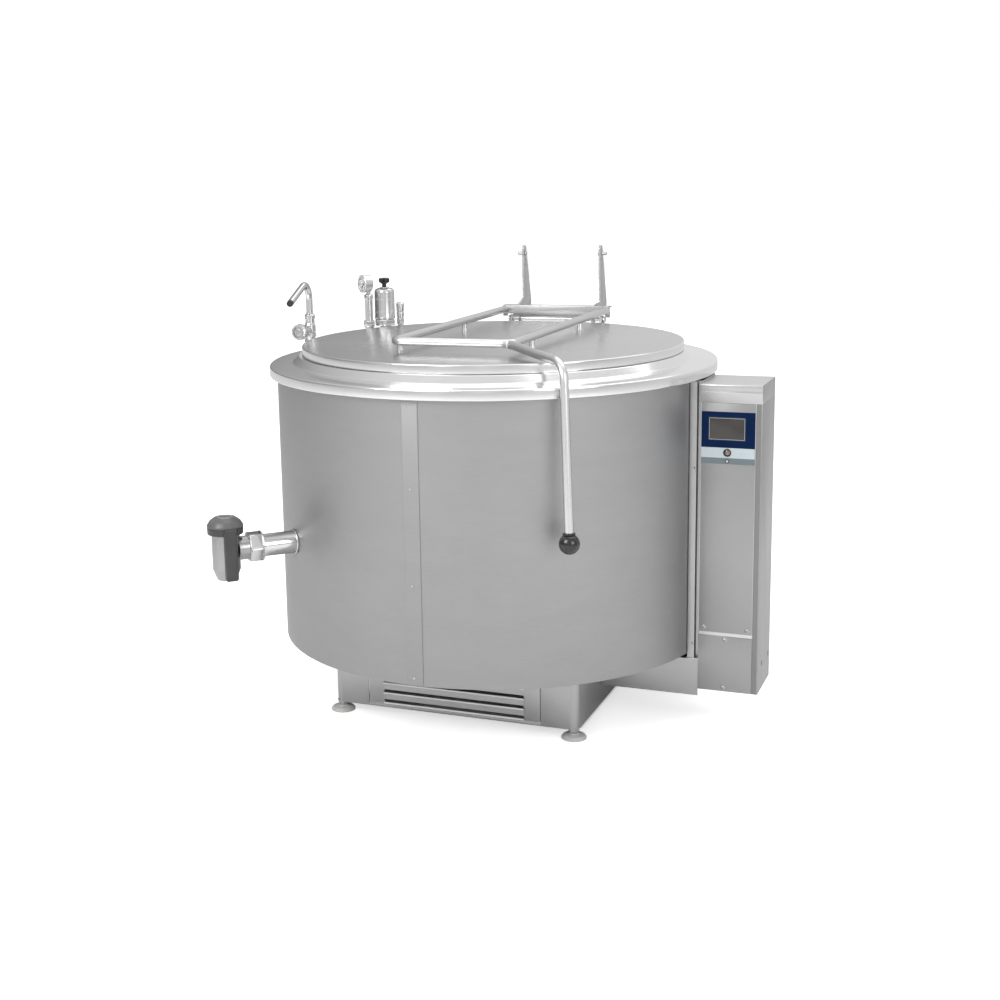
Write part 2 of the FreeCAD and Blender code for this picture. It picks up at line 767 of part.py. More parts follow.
def rim_ring():
    wall = s.plate
    low = s.rim_top - s.rim_band
    inner_ledge = s.vessel_radius + s.vessel_wall + 2
    body = revolved(
        "rim_ring",
        (
            (s.rim_radius, low),
            (s.rim_radius, s.rim_top),
            (s.collar_foot_radius, s.rim_top + s.collar_rise),
            (s.collar_top_radius, s.ledge_height),
            (inner_ledge, s.ledge_height),
            (inner_ledge, s.ledge_height - wall),
            (s.collar_top_radius - wall, s.ledge_height - wall),
            (s.collar_foot_radius - wall, s.rim_top + s.collar_rise - wall),
            (s.rim_radius - wall, s.rim_top - wall),
            (s.rim_radius - wall, low),
        ),
    )
    soften(body, s.rim_corner, round_edge(s.rim_radius, s.rim_top))
    soften(body, s.rim_corner, round_edge(s.collar_top_radius, s.ledge_height))
    return body


# Vessel, jacket and heating


def dish(radius, wall, centre, flange, top):
    """Half section of a flanged vessel with a dished bottom, as one outline."""
    rise = centre + s.dish_rise
    knuckle = s.knuckle
    inner = (
        (0, centre),
        (radius * 0.45, centre + s.dish_rise * 0.2),
        (radius - knuckle, rise - 6),
        (radius - knuckle * 0.3, rise + knuckle * 0.32),
        (radius, rise + knuckle),
        (radius, top),
    )
    outer = (
        (flange, top),
        (flange, top - wall),
        (radius + wall, top - wall),
        (radius + wall, rise + knuckle),
        (radius - knuckle * 0.3 + wall, rise + knuckle * 0.32 - wall),
        (radius - knuckle, rise - 6 - wall),
        (radius * 0.45, centre + s.dish_rise * 0.2 - wall),
        (0, centre - wall),
    )
    return inner + outer


def inner_vessel():
    body = revolved(
        "inner_vessel",
        dish(
            s.vessel_radius,
            s.vessel_wall,
            s.vessel_floor,
            s.vessel_flange,
            s.ledge_height - s.plate,
        ),
    )
    hole = sketch_on(body, "XY", s.vessel_floor - 10)
    circle(hole, 0, 0, s.drain_seat_radius - 4)
    cut(body, hole, 40, reverse=True)
    girth = sketch_on(body, "XY", s.vessel_floor + s.dish_rise + s.knuckle * 0.35)
    circle(girth, 0, 0, s.vessel_radius + s.vessel_wall * 2)
    cut(body, girth, s.weld_line, reverse=True)
    seam = sketch_on(body, "XY", s.vessel_floor - 10)
    circle(seam, 0, 0, s.vessel_radius * 0.45)
    circle(seam, 0, 0, s.vessel_radius * 0.45 + s.weld_line)
    cut(body, seam, 40, reverse=True)
    return body


def jacket_shell():
    wall = s.vessel_wall
    inner_top = s.vessel_radius + s.vessel_wall + s.fit_gap
    low = s.jacket_bottom
    skirt = s.jacket_skirt_radius
    body = revolved(
        "jacket_shell",
        (
            (0, low),
            (skirt, low),
            (skirt, s.casing_bottom + s.pan_plate),
            (skirt + wall, s.casing_bottom + s.pan_plate),
            (skirt + wall, low),
            (s.jacket_radius, low),
            (s.jacket_radius, s.jacket_top),
            (inner_top, s.jacket_top),
            (inner_top, s.jacket_top - wall),
            (s.jacket_radius - wall, s.jacket_top - wall),
            (s.jacket_radius - wall, low + wall),
            (0, low + wall),
        ),
    )
    nozzle = sketch_on(body, "YZ", s.jacket_radius - 6)
    circle(nozzle, 0, s.heater_height, s.heater_radius)
    pad(body, nozzle, 15)
    port = sketch_on(body, "YZ", s.jacket_radius - 40)
    circle(port, 0, s.heater_height, s.heater_radius - 8)
    cut(body, port, 60, reverse=True)
    drain = sketch_on(body, "YZ", 0, s.drain_angle + 360, Vec(0, 1, 0))
    circle(drain, 0, s.drain_height, s.drain_pipe_radius + s.fit_gap)
    cut(body, drain, s.jacket_radius + 20, reverse=True)
    return body


def heater_unit():
    body = new_body("heater_unit")
    seat = s.jacket_radius + 9
    disc = sketch_on(body, "YZ", seat)
    circle(disc, 0, s.heater_height, s.heater_radius + 12)
    pad(body, disc, 10)
    rod, reach, spread = 5, 330, 30
    for level in (-1, 0, 1):
        row = s.heater_height + level * 26
        path = sketch_on(body, "XY", row)
        start, far = seat + 30, seat - reach
        rounded_run(
            path,
            ((start, -spread / 2), (far, -spread / 2), (far, spread / 2), (start, spread / 2)),
            spread / 2 - 0.5,
        )
        swept(body, path, rod)
    return body


# Drain


def drain_path(body):
    path = sketch_on(body, "XZ")
    points = (
        (0, s.vessel_floor - 2),
        (0, s.drain_height),
        (s.nut_start + 17, s.drain_height),
    )
    return rounded_run(path, points, s.drain_elbow)


def drain_pipe():
    body = new_body("drain_pipe")
    path = drain_path(body)
    swept(body, path, s.drain_pipe_radius)
    seat = sketch_on(body, "XY", s.vessel_floor - s.vessel_wall - 0.5)
    circle(seat, 0, 0, s.drain_seat_radius)
    pad(body, seat, s.vessel_wall)
    swept(body, path, s.drain_pipe_radius - s.drain_pipe_wall, "SubtractivePipe")
    mouth = sketch_on(body, "XY", s.vessel_floor - s.vessel_wall * 2)
    circle(mouth, 0, 0, s.drain_pipe_radius - s.drain_pipe_wall)
    cut(body, mouth, s.vessel_wall * 2, reverse=True)
    collar = sketch_on(body, "YZ", s.nut_start + 11)
    circle(collar, 0, s.drain_height, s.neck_radius + 2)
    circle(collar, 0, s.drain_height, s.drain_pipe_radius - 1)
    pad(body, collar, 6)
    shroud = sketch_on(body, "YZ", s.casing_radius + 1)
    circle(shroud, 0, s.drain_height, s.drain_pipe_radius + 3)
    circle(shroud, 0, s.drain_height, s.drain_pipe_radius - 1)
    pad(body, shroud, 3)
    place(body, turn=s.drain_angle)
    return body


def drain_union():
    body = new_body("drain_union")
    profile = sketch_on(body, "YZ", s.nut_start)
    hexagon(profile, 0, s.drain_height, s.nut_flats)
    pad(body, profile, s.nut_end - s.nut_start)
    back = sketch_on(body, "YZ", s.nut_start)
    circle(back, 0, s.drain_height, s.drain_pipe_radius + s.fit_gap)
    cut(body, back, 12, reverse=True)
    thread = sketch_on(body, "YZ", s.nut_start + 10.7)
    circle(thread, 0, s.drain_height, s.neck_radius + 2 + s.fit_gap)
    cut(body, thread, s.nut_end - s.nut_start, reverse=True)
    ring = sketch_on(body, "YZ", s.nut_start)
    circle(ring, 0, s.drain_height, s.nut_flats / 2 + 3)
    circle(ring, 0, s.drain_height, s.drain_pipe_radius + s.fit_gap)
    pad(body, ring, 4)
    place(body, turn=s.drain_angle)
    return body


def drain_valve_body():
    body = new_body("drain_valve_body")
    low, top, wide = s.valve_bottom, s.valve_top, s.valve_radius
    column = sketch_on(body, "XZ")
    outline(
        column,
        (
            (0, low),
            (wide - 14, low),
            (wide - 12, low + 5),
            (wide, low + 27),
            (wide, top),
            (0, top),
        ),
    )
    turned(body, column)
    neck = sketch_on(body, "YZ")
    circle(neck, 0, s.drain_height, s.neck_radius)
    pad(body, neck, s.valve_offset - s.nut_end + 0.2, reverse=True)
    thread = sketch_on(body, "YZ", s.nut_end - s.valve_offset)
    circle(thread, 0, s.drain_height, s.neck_radius + 2)
    pad(body, thread, s.nut_end - s.nut_start - 17.3, reverse=True)
    chamber = sketch_on(body, "XZ")
    plug, stem, mouth = s.plug_radius, s.spindle_radius + s.running_gap, s.outlet_radius
    outline(
        chamber,
        (
            (0, low),
            (mouth, low),
            (mouth, low + 36),
            (plug, low + 36),
            (plug, top - 7),
            (stem, top - 7),
            (stem, top),
            (0, top),
        ),
    )
    turned(body, chamber, kind="Groove")
    feed = sketch_on(body, "YZ")
    circle(feed, 0, s.drain_height, s.neck_radius - 5)
    cut(body, feed, 120)
    return at_valve(body)


def at_valve(body):
    return place(
        body,
        s.valve_offset * cos_of(s.drain_angle),
        s.valve_offset * sin_of(s.drain_angle),
        0,
        s.drain_angle,
    )


def drain_valve_plug():
    body = new_body("drain_valve_plug")
    low = s.valve_bottom + 36 + s.running_gap
    top = s.valve_top - 7 - s.running_gap
    plug, stem = s.plug_radius - s.running_gap, s.spindle_radius
    shape = sketch_on(body, "XZ")
    outline(
        shape,
        ((0, low), (plug, low), (plug, top), (stem, top), (stem, s.cap_top - 17), (0, s.cap_top - 17)),
    )
    turned(body, shape)
    well = sketch_on(body, "XY", low)
    circle(well, 0, 0, s.outlet_radius - 0.5)
    cut(body, well, s.drain_height - low + 10, reverse=True)
    port = sketch_on(body, "XZ")
    circle(port, 0, s.drain_height, s.outlet_radius)
    cut(body, port, s.plug_radius + 5, reverse=True)
    return at_valve(body)


def drain_handle():
    body = new_body("drain_handle")
    top, wide = s.cap_top, s.cap_radius
    rim = s.valve_top - 8
    cavity = s.valve_radius + 4
    ceiling = s.valve_top + s.fit_gap
    stem = s.spindle_radius + s.fit_gap / 3
    shape = sketch_on(body, "XZ")
    outline(
        shape,
        (
            (stem, ceiling),
            (cavity, ceiling),
            (cavity, rim),
            (wide - 1, rim),
            (wide, rim + 18),
            (wide - 5, rim + 28),
            (wide - 13, top - 6),
            (wide - 26, top),
            (0, top),
            (0, top - 17),
            (stem, top - 17),
        ),
    )
    turned(body, shape)
    grip = sketch_on(body, "XZ", -s.valve_radius - 1.2)
    half = s.grip_width / 2
    outline(
        grip,
        (
            (-half + 2, s.grip_bottom),
            (half - 2, s.grip_bottom),
            (half, s.grip_bottom + 4),
            (half, s.cap_top - 24),
            (-half, s.cap_top - 24),
            (-half, s.grip_bottom + 4),
        ),
    )
    pad(body, grip, s.grip_thickness, reverse=True)
    return at_valve(body)


# Water tap


def tap_column():
    foot = rim_height(radius_at(s.tap_x, s.tap_y)) + 1.6
    top = s.wheel_height - 11
    points = (
        (0, foot),
        (22, foot),
        (22, foot + 4),
        (16, foot + 7),
        (16, top - 13),
        (13, top - 11),
        (13, top),
        (0, top),
    )
    body = revolved("tap_column", points)
    return place(body, s.tap_x, s.tap_y)


def tap_body():
    body = new_body("tap_body")
    level = s.wheel_height
    shape = sketch_on(body, "XZ")
    outline(
        shape,
        (
            (0, level - 11),
            (13, level - 11),
            (14, level - 3),
            (14, level + 13),
            (11.5, level + 19),
            (11.5, level + 30),
            (13, level + 33),
            (0, level + 33),
        ),
    )
    turned(body, shape)
    arm = sketch_on(body, "XZ")
    circle(arm, 0, level, 10.5)
    pad(body, arm, s.wheel_start - 6)
    bore = sketch_on(body, "XZ", s.wheel_start - 6)
    circle(bore, 0, level, 5 + s.running_gap)
    cut(body, bore, s.wheel_start - 22)
    socket = sketch_on(body, "XY", level + 33)
    circle(socket, 0, 0, s.spout_radius + s.running_gap)
    cut(body, socket, 12)
    return place(body, s.tap_x, s.tap_y)


def tap_collar():
    bore = s.spout_radius + s.running_gap
    low = s.wheel_height + 33
    points = ((bore, low), (14.3, low), (14.3, low + 7), (12.5, low + 10), (bore, low + 10))
    return place(revolved("tap_collar", points), s.tap_x, s.tap_y)


def spout_points():
    return ((0, s.wheel_height + 22), (0, s.spout_apex), (s.spout_reach, s.spout_mouth))


def tap_spout():
    body = new_body("tap_spout")
    path = rounded_run(sketch_on(body, "XZ"), spout_points(), s.spout_bend)
    swept(body, path, s.spout_radius)
    swept(body, path, s.spout_radius - 1.5, "SubtractivePipe")
    return place(body, s.tap_x, s.tap_y, 0, s.spout_turn)


def tap_aerator():
    """Dark ring over the end of the spout."""
    body = new_body("tap_aerator")
    fall = slope_of((s.spout_apex - s.spout_mouth) / s.spout_reach)
    ring = sketch_on(body, "XZ", 0, -fall)
    rectangle(ring, 0, 9, s.spout_radius - 3, s.spout_radius + 1)
    turned(body, ring, axis="H_Axis")
    place_x = s.tap_x + s.spout_reach * cos_of(s.spout_turn)
    place_y = s.tap_y + s.spout_reach * sin_of(s.spout_turn)
    return place(body, place_x, place_y, s.spout_mouth, s.spout_turn)


def tap_knob():
    """Hand wheel with finger notches round its edge."""
    body = new_body("tap_knob")
    stem = sketch_on(body, "XZ", 17)
    circle(stem, 0, s.wheel_height, 5)
    pad(body, stem, s.wheel_start - 16)
    wheel = sketch_on(body, "XZ", s.wheel_start)
    circle(wheel, 0, s.wheel_height, s.wheel_radius)
    pad(body, wheel, s.wheel_length)
    well = sketch_on(body, "XZ", s.wheel_start + s.wheel_length)
    circle(well, 0, s.wheel_height, s.wheel_radius - 5)
    cut(body, well, 3)
    notches = 8
    for k in range(notches):
        angle = 360 / notches * k
        notch = sketch_on(body, "XZ", s.wheel_start)
        reach = s.wheel_radius + 2
        circle(notch, reach * cos_of(angle), s.wheel_height + reach * sin_of(angle), 4)
        cut_through(body, notch)
    return place(body, s.tap_x, s.tap_y)


# Gauge, safety valve and vent


def gauge_stem():
    foot = rim_height(radius_at(s.gauge_x, s.gauge_y)) + 1.4
    level = s.rim_top
    neck_top = s.gauge_height - s.gauge_radius + 1
    points = (
        (0, foot),
        (15, foot),
        (15, level + 44),
        (11, level + 46),
        (11, level + 61),
        (11, level + 67),
        (11, level + 125),
        (12.5, level + 126),
        (12.5, level + 137),
        (6, level + 139),
        (6, neck_top),
        (0, neck_top),
    )
    body = revolved("gauge_stem", points)
    base_nut(body, 30)
    return place(body, s.gauge_x, s.gauge_y)


def at_gauge(body):
    """Turns a piece so that its local +X points out of the dial."""
    return place(body, s.gauge_x, s.gauge_y, s.gauge_height, s.gauge_turn)


def gauge_case():
    body = new_body("gauge_case")
    back = s.gauge_front - s.gauge_depth
    disc = sketch_on(body, "YZ", back)
    circle(disc, 0, 0, s.gauge_radius)
    pad(body, disc, s.gauge_depth)
    rear = float(back)

    def rear_edge(edge):
        box = edge.BoundBox
        return abs(box.XMin - rear) < 0.01 and abs(box.XMax - rear) < 0.01

    soften(body, 2.5, rear_edge)
    well = sketch_on(body, "YZ", s.gauge_front)
    circle(well, 0, 0, s.gauge_radius - 3)
    cut(body, well, s.gauge_depth - 3)
    seat = sketch_on(body, "XY", -s.gauge_radius)
    circle(seat, 0, 0, 6 + s.fit_gap / 3)
    cut(body, seat, 1.2, reverse=True)
    return at_gauge(body)


def gauge_dial():
    body = new_body("gauge_dial")
    disc = sketch_on(body, "YZ", s.gauge_front - s.gauge_depth + 3)
    circle(disc, 0, 0, s.gauge_radius - 3.1)
    circle(disc, 0, 0, 1 + s.running_gap)
    pad(body, disc, s.gauge_depth - 11)
    return at_gauge(body)


def gauge_needle():
    body = new_body("gauge_needle")
    level = s.gauge_front - 7.5
    pin = sketch_on(body, "YZ", level - 6)
    circle(pin, 0, 0, 1)
    pad(body, pin, 7)
    hub = sketch_on(body, "YZ", level)
    circle(hub, 0, 0, 2.6)
    pad(body, hub, 1)
    hand = sketch_on(body, "YZ", level)
    tilt = math.radians(-45)
    blade = ((-1.2, -1), (-0.3, -17), (0.3, -17), (1.2, -1), (1, 7), (-1, 7))
    corners = []
    for across, along in blade:
        y = across * math.cos(tilt) - along * math.sin(tilt)
        z = across * math.sin(tilt) + along * math.cos(tilt)
        corners.append((y, z))
    outline(hand, corners)
    pad(body, hand, 0.8)
    return at_gauge(body)


def gauge_glass():
    body = new_body("gauge_glass")
    disc = sketch_on(body, "YZ", s.gauge_front - 3.5)
    circle(disc, 0, 0, s.gauge_radius - 3.1)
    pad(body, disc, 1.5)
    return at_gauge(body)


def base_nut(body, flats):
    """Adds the hexagon that a fitting is screwed down by."""
    nut = sketch_on(body, "XY", s.rim_top + 45)
    hexagon(nut, 0, 0, flats)
    return pad(body, nut, 17)


def relief_valve():
    level = s.rim_top
    foot = rim_height(radius_at(s.relief_x, s.relief_y)) + 1.4
    bonnet = s.relief_radius
    body = revolved(
        "relief_valve",
        (
            (0, foot),
            (14, foot),
            (14, level + 44),
            (24, level + 45),
            (24, level + 63),
            (24, level + 65),
            (30, level + 65),
            (30, level + 69),
            (bonnet, level + 70),
            (bonnet, level + 143),
            (bonnet - 3, level + 149),
            (bonnet - 10, level + 152.5),
            (13, level + 155),
            (0, level + 155),
        ),
    )
    base_nut(body, 54)
    bore = sketch_on(body, "XY", level + 155)
    circle(bore, 0, 0, 4 + s.running_gap)
    cut(body, bore, 15)
    return place(body, s.relief_x, s.relief_y)


def relief_knob():
    """Star knob that lifts the safety valve."""
    level = s.rim_top
    body = revolved(
        "relief_knob",
        (
            (0, level + 142),
            (4, level + 142),
            (4, level + 155.3),
            (8.5, level + 155.3),
            (9, level + 166),
            (15.5, level + 172),
            (15.5, level + 180),
            (12, level + 182),
            (0, level + 182),
        ),
    )
    lobes = 5
    for k in range(lobes):
        notch = sketch_on(body, "XY", level + 164)
        angle = 360 / lobes * k
        circle(notch, 17.5 * cos_of(angle), 17.5 * sin_of(angle), 6)
        cut(body, notch, 20, reverse=True)
    return place(body, s.relief_x, s.relief_y)


def vent_valve():
    level = s.rim_top
    foot = rim_height(radius_at(s.vent_x, s.vent_y)) + 1.4
    body = revolved(
        "vent_valve",
        (
            (0, foot),
            (8.5, foot),
            (8.5, level + 45),
            (9, level + 46),
            (9, level + 65),
            (11, level + 66),
            (11, level + 79),
            (9, level + 81),
            (11.5, level + 83),
            (11.5, level + 105),
            (9, level + 108),
            (0, level + 108),
        ),
    )
    base_nut(body, 20)
    return place(body, s.vent_x, s.vent_y)


# Lid


def lid_plate():
    wall, wide = s.plate, s.lid_radius
    low = s.ledge_height + s.lid_skirt_gap
    body = revolved(
        "lid_plate",
        (
            (0, s.lid_top - wall),
            (wide - wall, s.lid_top - wall),
            (wide - wall, low),
            (wide, low),
            (wide, s.lid_top),
            (0, s.lid_top),
        ),
    )
    soften(body, s.lid_edge, round_edge(wide, s.lid_top))
    return body


def lid_gasket():
    inner, outer = s.gasket_inner, s.gasket_outer
    low = s.ledge_height + s.fit_gap
    return revolved("lid_gasket", tube_points(inner, outer, low, s.lid_top - s.plate))


def frame_corner():
    """Where the lever meets the frame tube's front right bend, in plan."""
    inset = s.frame_bend * (1 - math.sqrt(0.5))
    return s.frame_half_width - inset, inset - s.frame_front


def lever_run():
    """Horizontal run of the lever's arm, from the frame to just outside the rim."""
    x, y = frame_corner()
    along = x * cos_of(s.lever_angle) + y * sin_of(s.lever_angle)
    reach = s.rim_radius + s.lever_clear
    return root_of(along * along - x * x - y * y + reach * reach) - along


def lever_path(body):
    """Upright plane through the frame's front right corner, along the lever."""
    x, y = frame_corner()
    turn = s.lever_angle
    across = y * cos_of(turn) - x * sin_of(turn)
    path = sketch_on(body, "XZ", -across * cos_of(turn), turn, Vec(0, 1, 0))
    path.AttachmentOffset.Base.x = (-across * sin_of(turn)).value
    bind(path, "AttachmentOffset.Base.x", -across * sin_of(turn))
    start = x * cos_of(turn) + y * sin_of(turn)
    bend = start + lever_run()
    points = (
        (start, s.frame_level - 0.5),
        (bend, s.frame_level - s.lever_drop),
        (bend + s.lever_lean, s.lever_end),
    )
    rounded_run(path, points, s.lever_bend)
    return path


def frame_path(body):
    path = sketch_on(body, "XY", s.frame_level)
    half, front, rear = s.frame_half_width, -s.frame_front, s.frame_rear
    points = ((-half, rear), (-half, front), (half, front), (half, rear))
    return rounded_run(path, points, s.frame_bend)


def lid_frame():
    """Bent tube that runs round the lid's front and sides."""
    body = new_body("lid_frame")
    path = frame_path(body)
    swept(body, path, s.tube_radius)
    swept(body, path, s.tube_radius - s.tube_wall, "SubtractivePipe")
    return body


def lid_lever():
    """Bent tube welded to the frame's corner, its end shaped to the frame tube."""
    body = new_body("lid_lever")
    path = lever_path(body)
    swept(body, path, s.tube_radius)
    swept(body, path, s.tube_radius - s.tube_wall, "SubtractivePipe")
    swept(body, frame_path(body), s.tube_radius, "SubtractivePipe")
    return body


def lever_ball():
    """Ball with a short collar, bored to take the lever's end and leaning with it."""
    body = new_body("lever_ball")
    ball, sleeve, bore = s.ball_radius, s.tube_radius + 4, s.tube_radius + 0.1
    fall = s.frame_level - s.lever_drop - s.lever_end
    lean = s.lever_lean / fall
    profile = sketch_on(body, "XZ", 0, slope_of(lean))
    meet = root_of(ball * ball - sleeve * sleeve)
    seat, top = s.lever_end - s.ball_height - 1, ball + 2
    start = math.atan2(meet.value, sleeve.value)
    round_side = Part.ArcOfCircle(Part.Circle(Vec(0, 0, 0), Vec(0, 0, 1), ball.value), -math.pi / 2, start)
    arc = profile.addGeometry(round_side, False)
    corners = ((sleeve, meet), (sleeve, top), (bore, top), (bore, seat), (0, seat), (0, -ball))
    rules = Rules(profile)
    sides = []
    for k in range(5):
        side = Part.LineSegment(flat(corners[k]), flat(corners[k + 1]))
        sides.append(profile.addGeometry(side, False))
    rules.measure("Radius", ball, arc)
    rules.locate(arc, 3, 0, 0)
    rules.tie("Coincident", arc, 2, sides[0], 1)
    rules.tie("Coincident", sides[4], 2, arc, 1)
    rules.measure("DistanceX", sleeve, -1, 1, arc, 2)
    rules.tie("PointOnObject", arc, 1, -2)
    for k in range(4):
        rules.tie("Coincident", sides[k], 2, sides[k + 1], 1)
        rules.locate(sides[k], 2, *corners[k + 1])
    rules.apply()
    turned(body, profile)
    run = lever_run() + s.lever_lean + (s.lever_end - s.ball_height) * lean
    x, y = frame_corner()
    x = x + run * cos_of(s.lever_angle)
    y = y + run * sin_of(s.lever_angle)
    return place(body, x, y, s.ball_height, s.lever_angle)


def lid_crossbar():
    body = new_body("lid_crossbar")
    web = sketch_on(body, "XZ", -s.frame_rear)
    rectangle(web, -s.crossbar_half, s.crossbar_half, s.crossbar_bottom, s.crossbar_top)
    pad(body, web, s.crossbar_plate, reverse=True)
    for side in (-1, 1):
        notch = sketch_on(body, "XZ", -s.frame_rear)
        inner = (s.lug_place - s.lug_plate / 2 - 2) * side
        outer = (s.lug_place + s.lug_plate / 2 + 8) * side
        left, right = (inner, outer) if side > 0 else (outer, inner)
        rectangle(notch, left, right, s.crossbar_bottom - 1, s.hinge_height + 14)
        cut(body, notch, s.crossbar_plate)
    top = sketch_on(body, "XY", s.crossbar_top - s.crossbar_plate)
    rectangle(top, -s.crossbar_half, s.crossbar_half, s.frame_rear, s.frame_rear + 24)
    pad(body, top, s.crossbar_plate)
    back, low = s.hinge_back, s.hinge_height
    for side in (-1, 1):
        ear = sketch_on(body, "YZ", s.ear_place * side)
        outline(
            ear,
            (
                (s.frame_rear, s.crossbar_top - s.crossbar_plate),
                (s.frame_rear, low - 4),
                (back - 4, low - 11),
                (back + 4, low - 11),
                (back + 11, low - 4),
                (back + 11, low + 5),
                (s.frame_rear + 18, s.crossbar_top - s.crossbar_plate),
            ),
        )
        pad(body, ear, s.ear_plate, middle=True)
    bore = sketch_on(body, "YZ")
    circle(bore, back, low, s.hinge_radius + s.running_gap)
    cut_through(body, bore)
    return body


def lid_arm(label, side):
    """Tapered arm behind the crossbar, with the pin that a balance spring hooks on."""
    body = new_body(label)
    plate = sketch_on(body, "YZ", s.arm_place * side)
    back = s.frame_rear + s.crossbar_plate
    top = s.arm_pin_height + 24
    if side < 0:
        front = ((s.arm_front - 2, s.crossbar_top + 18), (back, s.crossbar_top))
    else:
        front = (
            (s.arm_front - 2, s.crossbar_top + 6),
            (back + 2, s.crossbar_top + 6),
            (back + 2, s.crossbar_top),
        )
    outline(
        plate,
        (
            (s.frame_rear + 24, s.arm_foot),
            (s.arm_rear - 16, s.arm_foot),
            (s.arm_rear, s.arm_foot + 16),
            (s.arm_rear, s.crossbar_top + 6),
            (s.arm_front + 28, top - 36),
            (s.arm_front + 20, top - 8),
            (s.arm_front + 14, top),
            (s.arm_front + 5, top),
            (s.arm_front, top - 8),
            *front,
            (s.frame_rear + 24, s.crossbar_top),
        ),
    )
    pad(body, plate, s.arm_plate, middle=True)
    pin = sketch_on(body, "YZ", s.arm_place * side - (7 if side > 0 else 18))
    circle(pin, s.arm_front + 10, s.arm_pin_height, s.arm_pin_radius)
    pad(body, pin, 25)
    for drop in (18, 34):
        hole = sketch_on(body, "YZ", s.arm_place * side)
        circle(hole, s.arm_front + 12, s.arm_pin_height - drop, 2.5)
        cut(body, hole, 30, middle=True)
    return body


def lid_studs():
    body = new_body("lid_studs")
    top = s.frame_level - s.tube_radius
    base = sketch_on(body, "XY", s.lid_top)
    spots = (
        (-1, s.stud_left_front),
        (-1, s.stud_left_rear),
        (1, s.stud_right_front),
        (1, s.stud_right_rear),
    )
    for side, y in spots:
        circle(base, s.frame_half_width * side, y, s.stud_radius)
    pad(body, base, top - s.lid_top)
    return body


def hinge_shaft():
    body = new_body("hinge_shaft")
    end = s.lug_place + s.lug_plate / 2 + 1
    bar = sketch_on(body, "YZ", -end)
    circle(bar, s.hinge_back, s.hinge_height, s.hinge_radius)
    pad(body, bar, end * 2)
    for side in (-1, 1):
        head = sketch_on(body, "YZ", end * side)
        circle(head, s.hinge_back, s.hinge_height, s.hinge_radius + 3)
        pad(body, head, 5, reverse=side < 0)
    return body


def hinge_bracket(label, side):
    body = new_body(label)
    front, rear = s.hinge_back - 42, s.hinge_back + 2
    across = s.lug_place
    front_height = rim_height(radius_at(across, front)) + 0.4
    rear_height = rim_height(radius_at(across, rear)) + 0.4
    foot_sketch = sketch_on(body, "YZ", across * side)
    foot_points = (
        (front, front_height),
        (rear, rear_height),
        (rear, rear_height + 5),
        (front, front_height + 5),
    )
    pad(body, outline(foot_sketch, foot_points), s.bracket_half * 2, middle=True)
    lug = sketch_on(body, "YZ", across * side)
    back, level = s.hinge_back, s.hinge_height
    outline(
        lug,
        (
            (front + 6, front_height + 2),
            (rear, rear_height + 2),
            (back + 11, level - 5),
            (back + 11, level + 5),
            (back + 5, level + 11),
            (back - 5, level + 11),
            (back - 11, level + 4),
        ),
    )
    pad(body, lug, s.lug_plate, middle=True)
    bore = sketch_on(body, "YZ")
    circle(bore, back, level, s.hinge_radius + s.running_gap)
    cut_through(body, bore)
    return body


# Control box


def box_shell():
    body = new_body("box_shell")
    left, right, front, back = s.box_left, s.box_right, -s.box_front, s.box_back
    low, top, wall = s.box_bottom, s.hood_bottom, s.sheet
    base = sketch_on(body, "XY", low)
    pad(body, rectangle(base, left, right, front, back), top - low)
    hollow = sketch_on(body, "XY", low + wall)
    rectangle(hollow, left + wall, right - wall, front + wall, back - wall)
    cut(body, hollow, top - low, reverse=True)
    window = sketch_on(body, "XZ", s.box_front)
    rectangle(window, left - 1, right - s.frame_strip, low - 1, top + 1)
    cut(body, window, wall, reverse=True)
    rail = sketch_on(body, "XZ", s.box_front - wall)
    rail_low, rail_high = s.cover_top + s.panel_gap, s.door_bottom - s.panel_gap
    rectangle(rail, left + wall / 2, right - wall / 2, rail_low, rail_high)
    pad(body, rail, wall, reverse=True)
    gland = sketch_on(body, "XZ", -s.box_back)
    circle(gland, s.gland_x, s.gland_height, s.gland_bore + 7 + s.fit_gap)
    cut(body, gland, wall * 2)
    return body


def box_hood():
    body = new_body("box_hood")
    left, right, back = s.box_left, s.box_right, s.box_back
    front, step, low, top, wall = -s.box_front, s.hood_overhang, s.hood_bottom, s.hood_top, s.sheet
    profile = sketch_on(body, "YZ", left)
    outline(
        profile,
        (
            (back, low),
            (back, top),
            (front - step, top),
            (front - step, s.hood_break),
            (front - step + 2, s.hood_break),
            (front - step + 2, s.hood_break - 6),
            (front - step, s.hood_break - 7),
            (front, low),
        ),
    )
    pad(body, profile, right - left)
    hollow = sketch_on(body, "YZ", left + wall)
    outline(
        hollow,
        (
            (back - wall, low),
            (back - wall, top - wall),
            (front - step + wall, top - wall),
            (front - step + wall + 2, s.hood_break),
            (front - step + wall + 2, s.hood_break - 8),
            (front + wall, low),
        ),
    )
    cut(body, hollow, right - left - wall * 2, reverse=True)
    return body


def box_panel(label, low, high, fold_low):
    """Folded sheet panel that closes part of the box's front."""
    body = new_body(label)
    left = s.box_left
    right = s.box_right - s.frame_strip - s.panel_gap
    wall = s.sheet
    face = sketch_on(body, "XZ", s.box_front)
    pad(body, rectangle(face, left, right, low, high), wall, reverse=True)
    inner_left = left + wall + s.panel_gap
    fold = sketch_on(body, "XZ", s.box_front - wall)
    fold_depth = s.panel_depth - wall
    pad(body, rectangle(fold, inner_left, right, fold_low, high), fold_depth, reverse=True)
    hollow = sketch_on(body, "XZ", s.box_front - wall)
    rectangle(hollow, inner_left + wall, right - wall, fold_low + wall, high - wall)
    cut(body, hollow, s.panel_depth)
    return body


